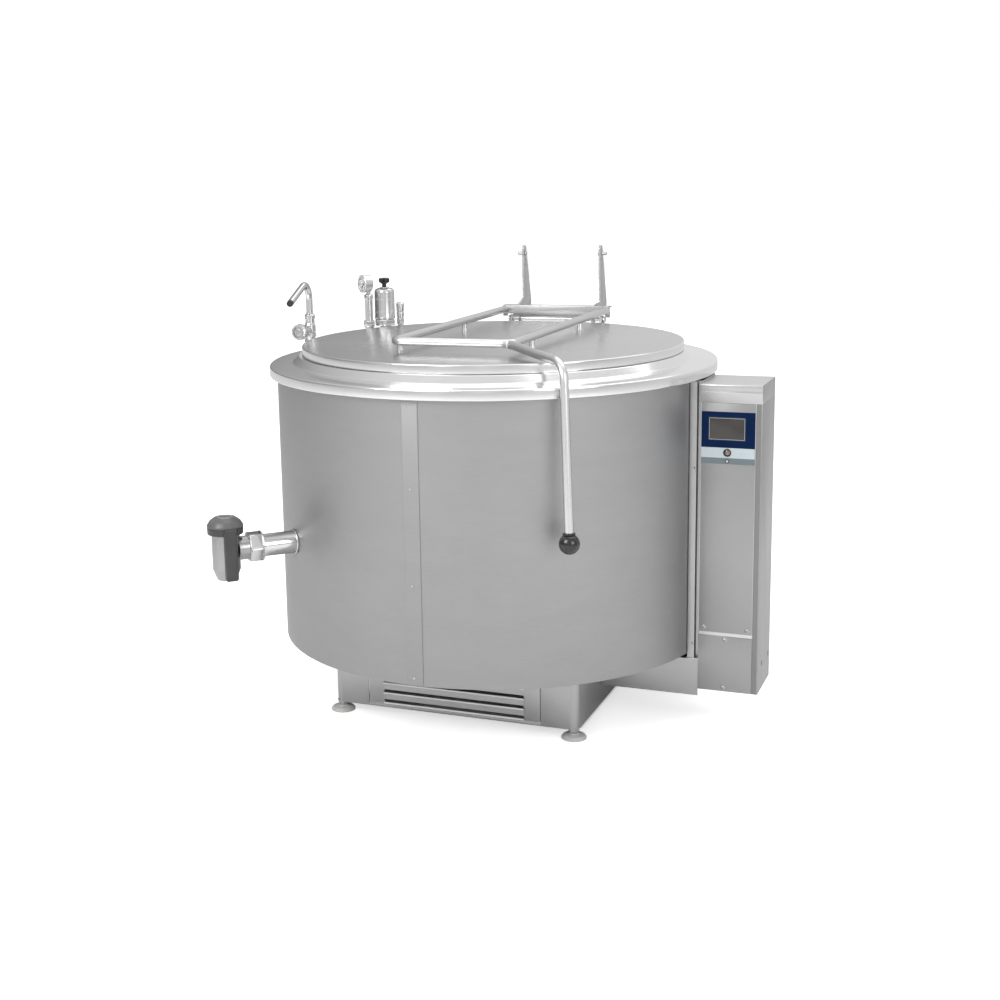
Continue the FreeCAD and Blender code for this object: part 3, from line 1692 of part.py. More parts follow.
def box_door():
    body = box_panel("box_door", s.door_bottom, s.door_top, s.door_bottom)
    hole = sketch_on(body, "XZ", s.box_front)
    circle(hole, s.button_x, s.button_height, s.button_radius + 1.5)
    circle(hole, s.button_x, s.lamp_height, s.lamp_radius + s.fit_gap)
    cut_through(body, hole)
    return body


def box_lower_cover():
    low = s.box_bottom
    return box_panel("box_lower_cover", low, s.cover_top, low + s.sheet + s.panel_gap)


def fascia_panel():
    body = new_body("fascia_panel")
    left = s.box_left + s.fascia_inset
    right = s.box_right - s.frame_strip - s.panel_gap - s.fascia_inset
    face = sketch_on(body, "XZ", s.box_front)
    pad(body, rectangle(face, left, right, s.fascia_bottom, s.fascia_top), s.fascia_plate)
    holes = sketch_on(body, "XZ", s.box_front)
    gap = s.fit_gap / 3
    rectangle(
        holes,
        s.display_left - gap,
        s.display_right + gap,
        s.display_bottom - gap,
        s.display_top + gap,
    )
    cut_through(body, holes)
    rounds = sketch_on(body, "XZ", s.box_front)
    circle(rounds, s.button_x, s.button_height, s.button_radius + 1.5)
    circle(rounds, s.button_x, s.lamp_height, s.lamp_radius + s.fit_gap)
    cut_through(body, rounds)
    return body


def display_glass():
    body = new_body("display_glass")
    face = sketch_on(body, "XZ", s.box_front)
    rectangle(face, s.display_left, s.display_right, s.display_bottom, s.display_top)
    pad(body, face, s.fascia_plate + 0.4)
    return body


def button_bezel():
    """Fixed metal ring and barrel that the start button slides in."""
    body = new_body("button_bezel")
    bore = s.button_radius + s.running_gap
    barrel = sketch_on(body, "XZ", s.box_front - 26)
    circle(barrel, s.button_x, s.button_height, s.button_radius + 1.2)
    circle(barrel, s.button_x, s.button_height, bore)
    pad(body, barrel, 26 + s.fascia_plate)
    ring = sketch_on(body, "XZ", s.box_front + s.fascia_plate)
    circle(ring, s.button_x, s.button_height, s.button_radius + 3)
    circle(ring, s.button_x, s.button_height, bore)
    pad(body, ring, 1.5)
    rear = sketch_on(body, "XZ", s.box_front - 26)
    circle(rear, s.button_x, s.button_height, s.button_radius + 1.2)
    pad(body, rear, 3)
    return body


def start_button():
    body = new_body("start_button")
    cap = sketch_on(body, "XZ", s.box_front - 14)
    circle(cap, s.button_x, s.button_height, s.button_radius)
    pad(body, cap, 14 + s.fascia_plate + s.button_stroke)
    return body


def status_lamp():
    body = new_body("status_lamp")
    lens = sketch_on(body, "XZ", s.box_front - 10)
    circle(lens, s.button_x, s.lamp_height, s.lamp_radius)
    pad(body, lens, 10 + s.fascia_plate)
    head = sketch_on(body, "XZ", s.box_front + s.fascia_plate)
    circle(head, s.button_x, s.lamp_height, s.lamp_radius + 1)
    pad(body, head, 0.8)
    return body


def box_internals():
    """Mounting plate on the rear wall with contactors, relay board and terminals."""
    body = new_body("box_internals")
    back = s.box_back - s.sheet
    left = s.box_left + 14
    right = s.box_right - 14
    plate = sketch_on(body, "XZ", -back)
    pad(body, rectangle(plate, left, right, s.box_bottom + 95, s.door_top - 80), s.plate)
    parts = (
        (left + 8, 45, 210, 85, 70),
        (left + 62, 45, 210, 85, 70),
        (left + 8, 100, 340, 90, 55),
        (left + 8, 100, 470, 55, 42),
        (left + 14, 90, 570, 60, 30),
    )
    for start, width, base, height, depth in parts:
        block = sketch_on(body, "XZ", s.plate - back)
        rectangle(block, start, start + width, s.box_bottom + base - 90, s.box_bottom + base - 90 + height)
        pad(body, block, depth)
    return body


def cable_gland():
    """Threaded cable entry in the box's rear wall."""
    body = new_body("cable_gland")
    bore, outer = s.gland_bore, s.gland_bore + 7
    tube = sketch_on(body, "XZ", -s.box_back + s.sheet + 10)
    circle(tube, s.gland_x, s.gland_height, outer)
    pad(body, tube, s.sheet + 10, reverse=True)
    nut = sketch_on(body, "XZ", -s.box_back + s.sheet)
    hexagon(nut, s.gland_x, s.gland_height, outer * 2 + 6)
    pad(body, nut, 6)
    cap = sketch_on(body, "XZ", -s.box_back)
    hexagon(cap, s.gland_x, s.gland_height, outer * 2 + 4)
    pad(body, cap, 18, reverse=True)
    hole = sketch_on(body, "XZ", -s.box_back)
    circle(hole, s.gland_x, s.gland_height, bore)
    cut_through(body, hole)
    return body


def support_beam():
    """Folded channel, open below, that carries the control box from the plinth."""
    body = new_body("support_beam")
    start, end = s.plinth_half_width, s.box_left
    front, back = -s.box_front, s.box_back - 6
    low, top, wall = s.beam_bottom, s.beam_top, s.beam_plate
    profile = sketch_on(body, "YZ", start)
    outline(
        profile,
        (
            (front, low),
            (front + wall, low),
            (front + wall, top - wall),
            (back - wall, top - wall),
            (back - wall, low),
            (back, low),
            (back, top),
            (front, top),
        ),
    )
    pad(body, profile, end - start)
    flange_low = s.box_bottom + 6
    for place_x, flip in ((start, False), (end, True)):
        flange = sketch_on(body, "YZ", place_x)
        rectangle(flange, front + wall, back - wall, flange_low, top - wall)
        pad(body, flange, wall, reverse=flip)
    return body


def side_spacer():
    """Channel that closes the gap between the round casing and the flat box."""
    body = new_body("side_spacer")
    low, high, wall = s.beam_top, s.spacer_top, s.sheet
    reach = s.casing_radius + s.fit_gap
    front, back = -s.box_front + 2, s.box_back - 2
    right = s.box_left
    front_x = root_of(reach * reach - (front + wall) * (front + wall)) + 1
    back_x = root_of(reach * reach - (back - wall) * (back - wall)) + 1
    section = sketch_on(body, "XY", low)
    outline(
        section,
        (
            (front_x, front),
            (right, front),
            (right, back),
            (back_x, back),
            (back_x, back - wall),
            (right - wall, back - wall),
            (right - wall, front + wall),
            (front_x, front + wall),
        ),
    )
    pad(body, section, high - low)
    return body


BUILDERS = (
    plinth_frame,
    lambda: louvred_panel("louvre_panel_front", 0),
    lambda: louvred_panel("louvre_panel_rear", 180),
    lambda: foot("foot_front_left", -1, -1),
    lambda: foot("foot_front_right", 1, -1),
    lambda: foot("foot_rear_left", -1, 1),
    lambda: foot("foot_rear_right", 1, 1),
    base_pan,
    casing_left,
    casing_right,
    lambda: seam_strip("seam_strip_front", -90),
    lambda: seam_strip("seam_strip_rear", 90),
    rim_ring,
    inner_vessel,
    jacket_shell,
    heater_unit,
    drain_pipe,
    drain_union,
    drain_valve_body,
    drain_valve_plug,
    drain_handle,
    tap_column,
    tap_body,
    tap_collar,
    tap_spout,
    tap_aerator,
    tap_knob,
    gauge_stem,
    gauge_case,
    gauge_dial,
    gauge_needle,
    gauge_glass,
    relief_valve,
    relief_knob,
    vent_valve,
    lid_plate,
    lid_gasket,
    lid_frame,
    lid_lever,
    lever_ball,
    lid_crossbar,
    lambda: lid_arm("lid_arm_left", -1),
    lambda: lid_arm("lid_arm_right", 1),
    lid_studs,
    hinge_shaft,
    lambda: hinge_bracket("hinge_bracket_left", -1),
    lambda: hinge_bracket("hinge_bracket_right", 1),
    box_shell,
    box_hood,
    box_door,
    box_lower_cover,
    fascia_panel,
    display_glass,
    button_bezel,
    start_button,
    status_lamp,
    box_internals,
    cable_gland,
    support_beam,
    side_spacer,
)


def main():
    bodies = [build() for build in BUILDERS]
    doc.recompute()
    for item in doc.Objects:
        if "Invalid" in item.State or "Error" in item.State:
            raise ValueError(f"{item.Name} did not recompute: {item.State}")
    for body in bodies:
        shape = body.Shape
        if shape.isNull() or not shape.isValid() or shape.Volume < 1:
            raise ValueError(f"{body.Label} has no valid shape")
    for body in bodies:
        body.Shape.exportStep(f"parts/{body.Label}.step")
        print(body.Label, len(body.Shape.Solids), round(body.Shape.Volume))


main()
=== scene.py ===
from math import atan2, cos, degrees, pi, radians, sin, sqrt, tan

import bmesh
import bpy
from mathutils import Matrix, Vector

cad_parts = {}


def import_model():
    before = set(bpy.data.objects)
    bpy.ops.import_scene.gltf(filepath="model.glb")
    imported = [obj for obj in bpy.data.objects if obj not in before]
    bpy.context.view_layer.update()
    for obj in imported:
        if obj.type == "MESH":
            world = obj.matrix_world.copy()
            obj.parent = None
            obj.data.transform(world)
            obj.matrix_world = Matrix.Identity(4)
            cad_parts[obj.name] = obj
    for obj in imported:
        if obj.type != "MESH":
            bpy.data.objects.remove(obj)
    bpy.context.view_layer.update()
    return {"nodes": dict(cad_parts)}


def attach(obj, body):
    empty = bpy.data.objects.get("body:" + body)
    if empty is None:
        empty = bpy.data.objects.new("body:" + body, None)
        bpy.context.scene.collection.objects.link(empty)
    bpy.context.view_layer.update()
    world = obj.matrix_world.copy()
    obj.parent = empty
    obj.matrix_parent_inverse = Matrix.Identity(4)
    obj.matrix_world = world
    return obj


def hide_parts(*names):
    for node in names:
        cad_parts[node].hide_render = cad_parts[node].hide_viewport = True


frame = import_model()

MM = 0.001
FULL = 2 * pi
SHARP = radians(32)  # edges that turn by more than this stay sharp

# Sizes shared with the solid model, in millimetres
RIM_R, RIM_TOP, RIM_BAND = 582.0, 900.0, 26.0
COLLAR_FOOT, COLLAR_TOP, LEDGE = 521.0, 507.0, 923.5
CASING_R, CASING_LOW = 563.0, 183.0
STRIP_RIVETS = (861, 661, 428, 200)
VESSEL_R, VESSEL_FLOOR = 466.0, 530.0
LID_R, LID_TOP = 497.0, 946.4
TUBE_R, FRAME_Z, FRAME_HALF = 10.5, 974.0, 154.0
FRAME_FRONT, FRAME_REAR, FRAME_BEND = 294.0, 552.0, 24.0
LEVER_BEND, LEVER_FOOT = 283.9, 308.7
STUDS = ((-154, -250), (-154, 205), (154, -130), (154, 283))  # (x, y)
HINGE_Y, HINGE_Z = 560.0, 946.0
EAR_X, ARM_X, BRACKET_X, NOTCH_X = 112, 118, 138, 141
DRAIN_TURN, DRAIN_Z = -134.0, 471.0
SHROUD_AT, UNION_AT, END_COLLAR_AT, VALVE_AT = 564.0, 652.0, 663.0, 744.0  # distances along the drain
TAP = (-543.0, 25.0)
GAUGE = (-472.5, 265.0, 1068.5)
RELIEF = (-442.5, 310.0)
VENT = (-411.0, 350.0)
BOX_LEFT, BOX_RIGHT, BOX_FRONT, BOX_BACK = 580.0, 729.0, -118.0, 46.0
BOX_LOW, HOOD_LOW, HOOD_TOP = 94.0, 822.5, 868.0
BOX_WALL, PANEL_EDGE = 1.5, BOX_RIGHT - 15.3
DOOR_LOW, DOOR_TOP, COVER_TOP, FOLD = 246, 822, 236, 14
SCREEN_AT = (599, 689, 731, 788)  # left, right, bottom and top of the window
BUTTON_X, BUTTON_Z, LAMP_Z = 645.5, 701, 680
FRONT_SCREWS = ((594, 257), (701, 255), (647, 227), (644, 103))  # (x, z)
SIDE_SCREWS = ((23, 159), (-65, 161))  # (y, z) on the right wall
PLINTH_X, PLINTH_Y, PLINTH_LOW, PLINTH_TOP = 330.0, 325.0, 25.0, 183.0
FOOT_X, FOOT_Y = 315.5, 310.5


# Placing


def at(x=0.0, y=0.0, z=0.0):
    return Matrix.Translation((x, y, z))


def turn_z(angle, x=0.0, y=0.0, z=0.0):
    return at(x, y, z) @ Matrix.Rotation(radians(angle), 4, "Z")


def aimed(point, axis):
    return Matrix.Translation(point) @ axis.to_track_quat("Z", "Y").to_matrix().to_4x4()


# What is turned about the vertical axis lies down with its top to the front (-Y), rear or right (+X)
TO_FRONT = Matrix.Rotation(pi / 2, 4, "X")
TO_REAR = Matrix.Rotation(-pi / 2, 4, "X")
TO_RIGHT = Matrix.Rotation(pi / 2, 4, "Y")


# Outlines and pieces


def rounded(points, radius, closed=False, steps=5):
    """Corners of a path rounded by arcs. radius is one number or one per point."""
    pts = [Vector(p).to_3d() for p in points]
    count = len(pts)
    radii = radius if isinstance(radius, list) else [radius] * count
    out = []
    for k, here in enumerate(pts):
        if (not closed and k in (0, count - 1)) or radii[k] <= 0:
            out.append(here)
            continue
        back, ahead = pts[k - 1] - here, pts[(k + 1) % count] - here
        a, b = back.normalized(), ahead.normalized()
        half = a.angle(b) / 2
        if half > pi / 2 - 1e-3:
            out.append(here)
            continue
        reach = min(radii[k] / tan(half), back.length * 0.49, ahead.length * 0.49)
        r = reach * tan(half)
        centre = here + (a + b).normalized() * (r / sin(half))
        first, last = here + a * reach - centre, here + b * reach - centre
        spread = first.angle(last)
        for i in range(steps + 1):
            u = i / steps
            mix = first * sin((1 - u) * spread) + last * sin(u * spread)
            out.append(centre + mix / sin(spread))
    return out


def curve(*corners, steps=3, closed=False):
    """A flat line with corners (a, b) where it is sharp and (a, b, radius) where it is rounded."""
    radii = [corner[2] if len(corner) > 2 else 0 for corner in corners]
    return rounded([corner[:2] for corner in corners], radii, closed, steps)


def loop(*corners, steps=3):
    """A flat outline, with the same corners as a curve."""
    return curve(*corners, steps=steps, closed=True)


def circle(radius, count):
    return [(radius * cos(FULL * k / count), radius * sin(FULL * k / count)) for k in range(count)]


def walls(rings, count, whole=False, spans=None):
    """Faces between rings of count points that follow each other in one list."""
    faces = []
    for i in range(rings if whole else rings - 1):
        a, b = i * count, (i + 1) % rings * count
        for k in range(spans or count):
            m = (k + 1) % count
            faces.append((a + k, a + m, b + m, b + k))
    return faces


def ends(rings, count):
    """The first and the last ring as faces."""
    return [tuple(range(count)), tuple(range((rings - 1) * count, rings * count))]


def place_in_scene(name, data):
    obj = bpy.data.objects.new(name, data)
    bpy.context.scene.collection.objects.link(obj)
    return obj


def shade(bm):
    """Smooth faces, with the edges kept that turn by more than SHARP."""
    for face in bm.faces:
        face.smooth = True
    for edge in bm.edges:
        edge.smooth = len(edge.link_faces) != 2 or edge.calc_face_angle(0) < SHARP


class Piece:
    """Collects mesh parts in millimetres as one object, which replaces a CAD node where one is given."""

    def __init__(self, node=None, name=None):
        self.node = node
        self.name = name or f"{node}_dressed"
        self.bm = bmesh.new()

    def add(self, verts, faces, matrix=None, mat=0, bevel=0.0, segments=2):
        part = bmesh.new()
        made = [part.verts.new(v) for v in verts]
        for face in faces:
            try:
                part.faces.new([made[i] for i in face])
            except ValueError:
                pass
        bmesh.ops.remove_doubles(part, verts=part.verts[:], dist=0.002)
        bmesh.ops.dissolve_degenerate(part, dist=0.001, edges=part.edges[:])
        bmesh.ops.recalc_face_normals(part, faces=part.faces[:])
        if bevel:
            limit = radians(30)
            edges = [e for e in part.edges if len(e.link_faces) == 2 and e.calc_face_angle(0) > limit]
            bmesh.ops.bevel(
                part, geom=edges, offset=bevel, segments=segments, profile=0.5, affect="EDGES",
                clamp_overlap=True,
            )
        if matrix is not None:
            bmesh.ops.transform(part, matrix=matrix, verts=part.verts[:])
        mesh = bpy.data.meshes.new("part")
        for face in part.faces:
            face.material_index = mat
        part.to_mesh(mesh)
        part.free()
        self.bm.from_mesh(mesh)
        bpy.data.meshes.remove(mesh)
        return self

    def lathe(self, profile, segments, matrix=None, mat=0, closed=True, bevel=0.0, start=0.0, end=360.0):
        """Turns a closed profile of (radius, height) about the vertical axis."""
        pts = [Vector(p).to_3d() for p in profile]
        whole = abs(end - start) >= 360
        rings = segments if whole else segments + 1
        verts, count = [], len(pts)
        for i in range(rings):
            a = radians(start + (end - start) * i / segments)
            for p in pts:
                verts.append((p.x * cos(a), p.x * sin(a), p.y))
        faces = walls(rings, count, whole, count if closed else count - 1)
        if not whole and closed:
            faces += ends(rings, count)
        return self.add(verts, faces, matrix, mat, bevel)

    def spin(self, profile, segments, matrix=None, mat=0):
        """Turns an open line of (radius, height), most often from the axis back to the axis."""
        return self.lathe(profile, segments, matrix, mat, closed=False)

    def stack(self, sides, levels, radius, matrix):
        """Joins rings at levels (height, ...) whose radius is a function of the angle and the level's rest."""
        verts = []
        for height, *shape in levels:
            for k in range(sides):
                a = FULL * k / sides
                r = radius(a, *shape)
                verts.append((r * cos(a), r * sin(a), height))
        return self.add(verts, walls(len(levels), sides) + [tuple(range(sides))], matrix)

    def tube(self, path, radius, sides, matrix=None, caps=True):
        """A round bar along a path of points."""
        pts = [Vector(p).to_3d() for p in path]
        legs = [(b - a).normalized() for a, b in zip(pts, pts[1:])]
        bends = [(a + b).normalized() for a, b in zip(legs, legs[1:])]
        verts, before = [], legs[0]
        side = before.orthogonal().normalized()
        for p, ahead in zip(pts, legs[:1] + bends + legs[-1:]):
            side = before.rotation_difference(ahead) @ side
            side = (side - ahead * side.dot(ahead)).normalized()
            other = ahead.cross(side)
            before = ahead
            for i in range(sides):
                a = FULL * i / sides
                verts.append(p + (side * cos(a) + other * sin(a)) * radius)
        faces = walls(len(pts), sides)
        if caps:
            faces += ends(len(pts), sides)
        return self.add(verts, faces, matrix)

    def prism(self, outline, low, high, plane="XY", matrix=None, mat=0, bevel=0.0, segments=2):
        """A flat outline drawn in one plane and given a thickness across it."""
        order = {"XY": (0, 1, 2), "XZ": (0, 2, 1), "YZ": (1, 2, 0)}[plane]
        pts = [Vector(p).to_3d() for p in outline]
        verts = []
        for level in (low, high):
            for p in pts:
                v = [0.0, 0.0, 0.0]
                v[order[0]], v[order[1]], v[order[2]] = p.x, p.y, level
                verts.append(v)
        count = len(pts)
        return self.add(verts, ends(2, count) + walls(2, count), matrix, mat, bevel, segments)

    def block(self, low, high, matrix=None, mat=0, bevel=0.4):
        x0, y0, z0 = low
        x1, y1, z1 = high
        outline = ((x0, y0), (x1, y0), (x1, y1), (x0, y1))
        return self.prism(outline, z0, z1, "XY", matrix, mat, bevel)

    def paint(self, mat, test):
        """Gives a material to the faces whose normal passes a test."""
        for face in self.bm.faces:
            face.normal_update()
            if test(face.normal):
                face.material_index = mat
        return self

    def to_object(self):
        bmesh.ops.scale(self.bm, vec=(MM, MM, MM), verts=self.bm.verts[:])
        shade(self.bm)
        mesh = bpy.data.meshes.new(self.name)
        self.bm.to_mesh(mesh)
        self.bm.free()
        return place_in_scene(self.name, mesh)

    def finish(self, materials, body="kettle", slot="stainless_satin"):
        obj = self.to_object()
        for item in materials if isinstance(materials, list) else [materials]:
            obj.data.materials.append(item)
        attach(obj, body)
        if self.node:
            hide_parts(self.node)
        return obj


def cut_away(obj, cutter_piece):
    """Cuts a scratch mesh out of an object and throws the scratch mesh away."""
    cutter = cutter_piece.to_object()
    mod = obj.modifiers.new("cut", "BOOLEAN")
    mod.operation = "DIFFERENCE"
    mod.solver = "EXACT"
    mod.object = cutter
    bpy.context.view_layer.update()
    depsgraph = bpy.context.evaluated_depsgraph_get()
    result = bpy.data.meshes.new_from_object(obj.evaluated_get(depsgraph))
    obj.modifiers.remove(mod)
    old = obj.data
    obj.data = result
    bpy.data.meshes.remove(old)
    bpy.data.objects.remove(cutter)
    bm = bmesh.new()
    bm.from_mesh(obj.data)
    shade(bm)
    bm.to_mesh(obj.data)
    bm.free()


# Materials


def set_inputs(node, values):
    for key, value in values.items():
        node.inputs[key.replace("_", " ")].default_value = value


class Tree:
    """Small helper that builds the node tree of a material or world."""

    def __init__(self, owner):
        owner.use_nodes = True
        self.nodes, self.links = owner.node_tree.nodes, owner.node_tree.links
        self.nodes.clear()
        self.coords = self.new("TexCoord")

    def new(self, kind, **values):
        node = self.nodes.new("ShaderNode" + kind)
        set_inputs(node, values)
        return node

    def link(self, a, b):
        self.links.new(a, b)

    def ramp(self, source, stops):
        node = self.new("ValToRGB")
        elements = node.color_ramp.elements
        while len(elements) < len(stops):
            elements.new(0.5)
        for element, (place, colour) in zip(elements, stops):
            element.position = place
            element.color = (*colour, 1)
        self.link(source, node.inputs["Fac"])
        return node.outputs["Color"]

    def spread(self, source, low, high, to_low, to_high):
        node = self.new("MapRange", From_Min=low, From_Max=high, To_Min=to_low, To_Max=to_high)
        self.link(source, node.inputs["Value"])
        return node.outputs["Result"]

    def math(self, kind, a, b):
        node = self.new("Math")
        node.operation = kind
        for socket, value in zip(node.inputs, (a, b)):
            if isinstance(value, (int, float)):
                socket.default_value = value
            else:
                self.link(value, socket)
        return node.outputs[0]


class Nodes(Tree):
    """A material's node tree around one Principled shader."""

    def __init__(self, name):
        self.material = bpy.data.materials.new(name)
        super().__init__(self.material)
        self.out = self.new("OutputMaterial")
        self.shader = self.new("BsdfPrincipled")
        self.link(self.shader.outputs[0], self.out.inputs["Surface"])

    def noise(self, scale, stretch, detail, rough):
        mapping = self.new("Mapping", Scale=stretch)
        self.link(self.coords.outputs["Object"], mapping.inputs["Vector"])
        node = self.new("TexNoise", Scale=scale, Detail=detail, Roughness=rough)
        self.link(mapping.outputs[0], node.inputs["Vector"])
        return node.outputs["Fac"]

    def bump(self, height, strength, distance):
        node = self.new("Bump", Strength=strength, Distance=distance)
        self.link(height, node.inputs["Height"])
        self.feed("Normal", node.outputs["Normal"])

    def set(self, **values):
        set_inputs(self.shader, values)

    def feed(self, name, socket):
        self.link(socket, self.shader.inputs[name])


EVEN = (1, 1, 1)


def steel(name, tone, rough, stretch, grain, strength, vary, wave=0.0, edge=1.0):
    """Stainless steel: tone, roughness, stretch and scale of the brushing, depth of the brushing, how far the
    tone varies, share of broad waves in the surface, and the tint at grazing angles."""
    n = Nodes(name)
    fine = n.noise(grain, stretch, 3.0, 0.65)
    broad = n.noise(3.2, EVEN, 2.0, 0.5)
    patch = n.noise(22.0, tuple(0.35 + 0.65 * v / max(stretch) for v in stretch), 5.0, 0.6)
    light = tuple(min(1.0, c * (1 + vary)) for c in tone)
    dark = tuple(c * (1 - vary) for c in tone)
    mixed = n.math("ADD", n.math("MULTIPLY", fine, 0.5), n.math("MULTIPLY", patch, 0.5))
    n.feed("Base Color", n.ramp(mixed, ((0.3, dark), (0.7, light))))
    fine_rough = n.spread(fine, 0.3, 0.7, rough * 0.86, rough * 1.14)
    broad_rough = n.spread(broad, 0.3, 0.7, -0.03, 0.03)
    n.feed("Roughness", n.math("ADD", fine_rough, broad_rough))
    height = fine
    if wave:
        height = n.math("ADD", fine, n.math("MULTIPLY", broad, wave))
    n.bump(height, strength, 0.0003)
    n.set(Metallic=1.0, Specular_Tint=(edge, edge, edge, 1))
    return n.material


def plastic(name, colour, rough, grain=700.0, strength=0.15, coat=0.0, vary=0.15, sheen=0.5):
    """Plastic, film or paint: colour, roughness, scale and depth of the grain, coat, how far the colour
    varies, and specular level."""
    n = Nodes(name)
    fine = n.noise(grain, EVEN, 4.0, 0.6)
    broad = n.noise(14.0, EVEN, 4.0, 0.55)
    light = tuple(min(1.0, c * (1 + vary) + 0.002) for c in colour)
    dark = tuple(c * (1 - vary) for c in colour)
    n.feed("Base Color", n.ramp(broad, ((0.35, dark), (0.65, light))))
    n.feed("Roughness", n.spread(broad, 0.3, 0.7, rough * 0.85, rough * 1.2))
    n.bump(fine, strength, 0.0002)
    n.set(Specular_IOR_Level=sheen)
    if coat:
        n.set(Coat_Weight=coat, Coat_Roughness=0.08)
    return n.material


CASING_STEEL = steel("casing_satin", (0.395, 0.395, 0.399), 0.54, (0.05, 0.05, 1.0), 900, 0.10, 0.035)
RIM_STEEL = steel("rim_polished", (0.84, 0.84, 0.84), 0.18, (0.25, 0.25, 1.0), 420, 0.06, 0.03, 60.0)
LID_STEEL = steel("lid_satin", (0.53, 0.53, 0.534), 0.25, (1.0, 0.06, 1.0), 1400, 0.02, 0.02)
TUBE_STEEL = steel("tube_polished", (0.76, 0.76, 0.764), 0.30, EVEN, 500, 0.05, 0.03, 0.0, 0.70)
PLATE_STEEL = steel("plate_satin", (0.46, 0.46, 0.464), 0.34, (0.06, 1.0, 1.0), 800, 0.10, 0.04)
BOX_STEEL = steel("box_satin", (0.385, 0.385, 0.389), 0.38, (1.0, 1.0, 0.05), 900, 0.10, 0.035)
FITTING_STEEL = steel("fitting_bright", (0.76, 0.76, 0.765), 0.12, EVEN, 500, 0.04, 0.03, 0.0, 0.40)
VESSEL_STEEL = steel("vessel_satin", (0.52, 0.52, 0.524), 0.30, (0.08, 0.08, 1.0), 700, 0.08, 0.04)
# dark steel for inner parts, also used as painted shade in the cross recesses of screws
DARK_STEEL = steel("inner_steel_and_painted_shade", (0.23, 0.23, 0.233), 0.5, EVEN, 500, 0.1, 0.08)
BLACK_PLASTIC = plastic("black_plastic", (0.018, 0.018, 0.019), 0.34)
BALL_PLASTIC = plastic("ball_plastic", (0.010, 0.010, 0.011), 0.16, 300, 0.03, 0.5)
SEAL_RUBBER = plastic("seal_rubber", (0.50, 0.50, 0.48), 0.55)
GREY_PLASTIC = plastic("switchgear_plastic", (0.17, 0.18, 0.19), 0.5)
DIAL_FACE = plastic("dial_white", (0.82, 0.82, 0.80), 0.45, 300, 0.02, 0.0, 0.02)
NEEDLE_PAINT = plastic("needle_black", (0.02, 0.02, 0.02), 0.4)
NAVY_FILM = plastic("fascia_navy", (0.0025, 0.014, 0.056), 0.42, 900, 0.04, 0.0, 0.06, 0.05)
LIGHT_FILM = plastic("fascia_light", (0.50, 0.565, 0.59), 0.36, 900, 0.04, 0.0, 0.03, 0.3)
GREY_FILM = plastic("fascia_grey", (0.16, 0.195, 0.21), 0.36, 900, 0.04, 0.0, 0.04, 0.3)
SCREEN = plastic("screen_dark", (0.042, 0.037, 0.034), 0.22, 500, 0.02, 0.15, 0.10)
SCREEN_LINE = plastic("screen_line", (0.37, 0.43, 0.48), 0.35, 500, 0.02, 0.0, 0.03)
BEZEL_METAL = steel("bezel_metal", (0.09, 0.077, 0.068), 0.25, EVEN, 500, 0.04, 0.06)
BUTTON_METAL = steel("button_metal", (0.27, 0.23, 0.205), 0.16, EVEN, 500, 0.04, 0.06)
LAMP_LENS = plastic("lamp_lens", (0.05, 0.055, 0.06), 0.25, 300, 0.02, 0.3)
LAMP_CORE = plastic("lamp_core", (0.62, 0.66, 0.67), 0.25, 300, 0.02, 0.3)
# one plastic in two copies: lighter for the cap's top, lit from above, and darker for the band and grip, as
# painted light and shade
CAP_PLASTIC = plastic("cap_plastic", (0.125, 0.125, 0.128), 0.32, 500, 0.06, 0.0, 0.08)
SHADED_CAP_PLASTIC = plastic("cap_plastic_painted_shade", (0.048, 0.048, 0.050), 0.34, 500, 0.06, 0.0, 0.10)
VALVE_STEEL = steel("valve_satin", (0.42, 0.42, 0.424), 0.28, (0.3, 0.3, 1.0), 500, 0.05, 0.03)
# bright steel for trim, also used for painted highlights on the door edges and louvre lips
TRIM_AND_HIGHLIGHT_STEEL = steel("trim_and_painted_highlight", (0.72, 0.72, 0.72), 0.34, EVEN, 500, 0.05, 0.03)
# lighter copy of the box steel for the hood: painted light
HOOD_LIT_STEEL = steel("hood_painted_light", (0.60, 0.60, 0.604), 0.34, (0.05, 1.0, 1.0), 900, 0.08, 0.03)
# darker copy of the box steel: painted shade in the recess right of the door
GROOVE_SHADE_STEEL = steel("groove_painted_shade", (0.27, 0.27, 0.273), 0.42, (1.0, 1.0, 0.05), 900, 0.08, 0.04)
PAD_GREY = plastic("pad_grey", (0.55, 0.55, 0.54), 0.55, 500, 0.10, 0.0, 0.06)


def clear_glass():
    n = Nodes("clear_glass")
    smear = n.noise(35.0, EVEN, 3.0, 0.5)
    n.feed("Roughness", n.spread(smear, 0.3, 0.7, 0.02, 0.05))
    n.set(Base_Color=(0.97, 0.98, 0.98, 1), IOR=1.3, Transmission_Weight=1.0, Alpha=0.35)
    return n.material


GLASS = clear_glass()


def dress(node, material):
    """Gives a CAD node that stays in view its finished material."""
    slots = frame["nodes"][node].data.materials
    if not slots:
        slots.append(material)
    for k in range(len(slots)):
        slots[k] = material


# Casing, seam strips, rim


def casing():
    inner, top, gap = CASING_R - 1.5, 898.9, degrees(0.5 / CASING_R)
    profile = loop((inner, CASING_LOW), (CASING_R, CASING_LOW, 0.8), (CASING_R, top), (inner, top))
    for start, name in ((-90.0, "casing_right"), (90.0, "casing_left")):
        shell = Piece(name, name + "_shell")
        shell.lathe(profile, 160, start=start + gap, end=start + 180 - gap).finish(CASING_STEEL)


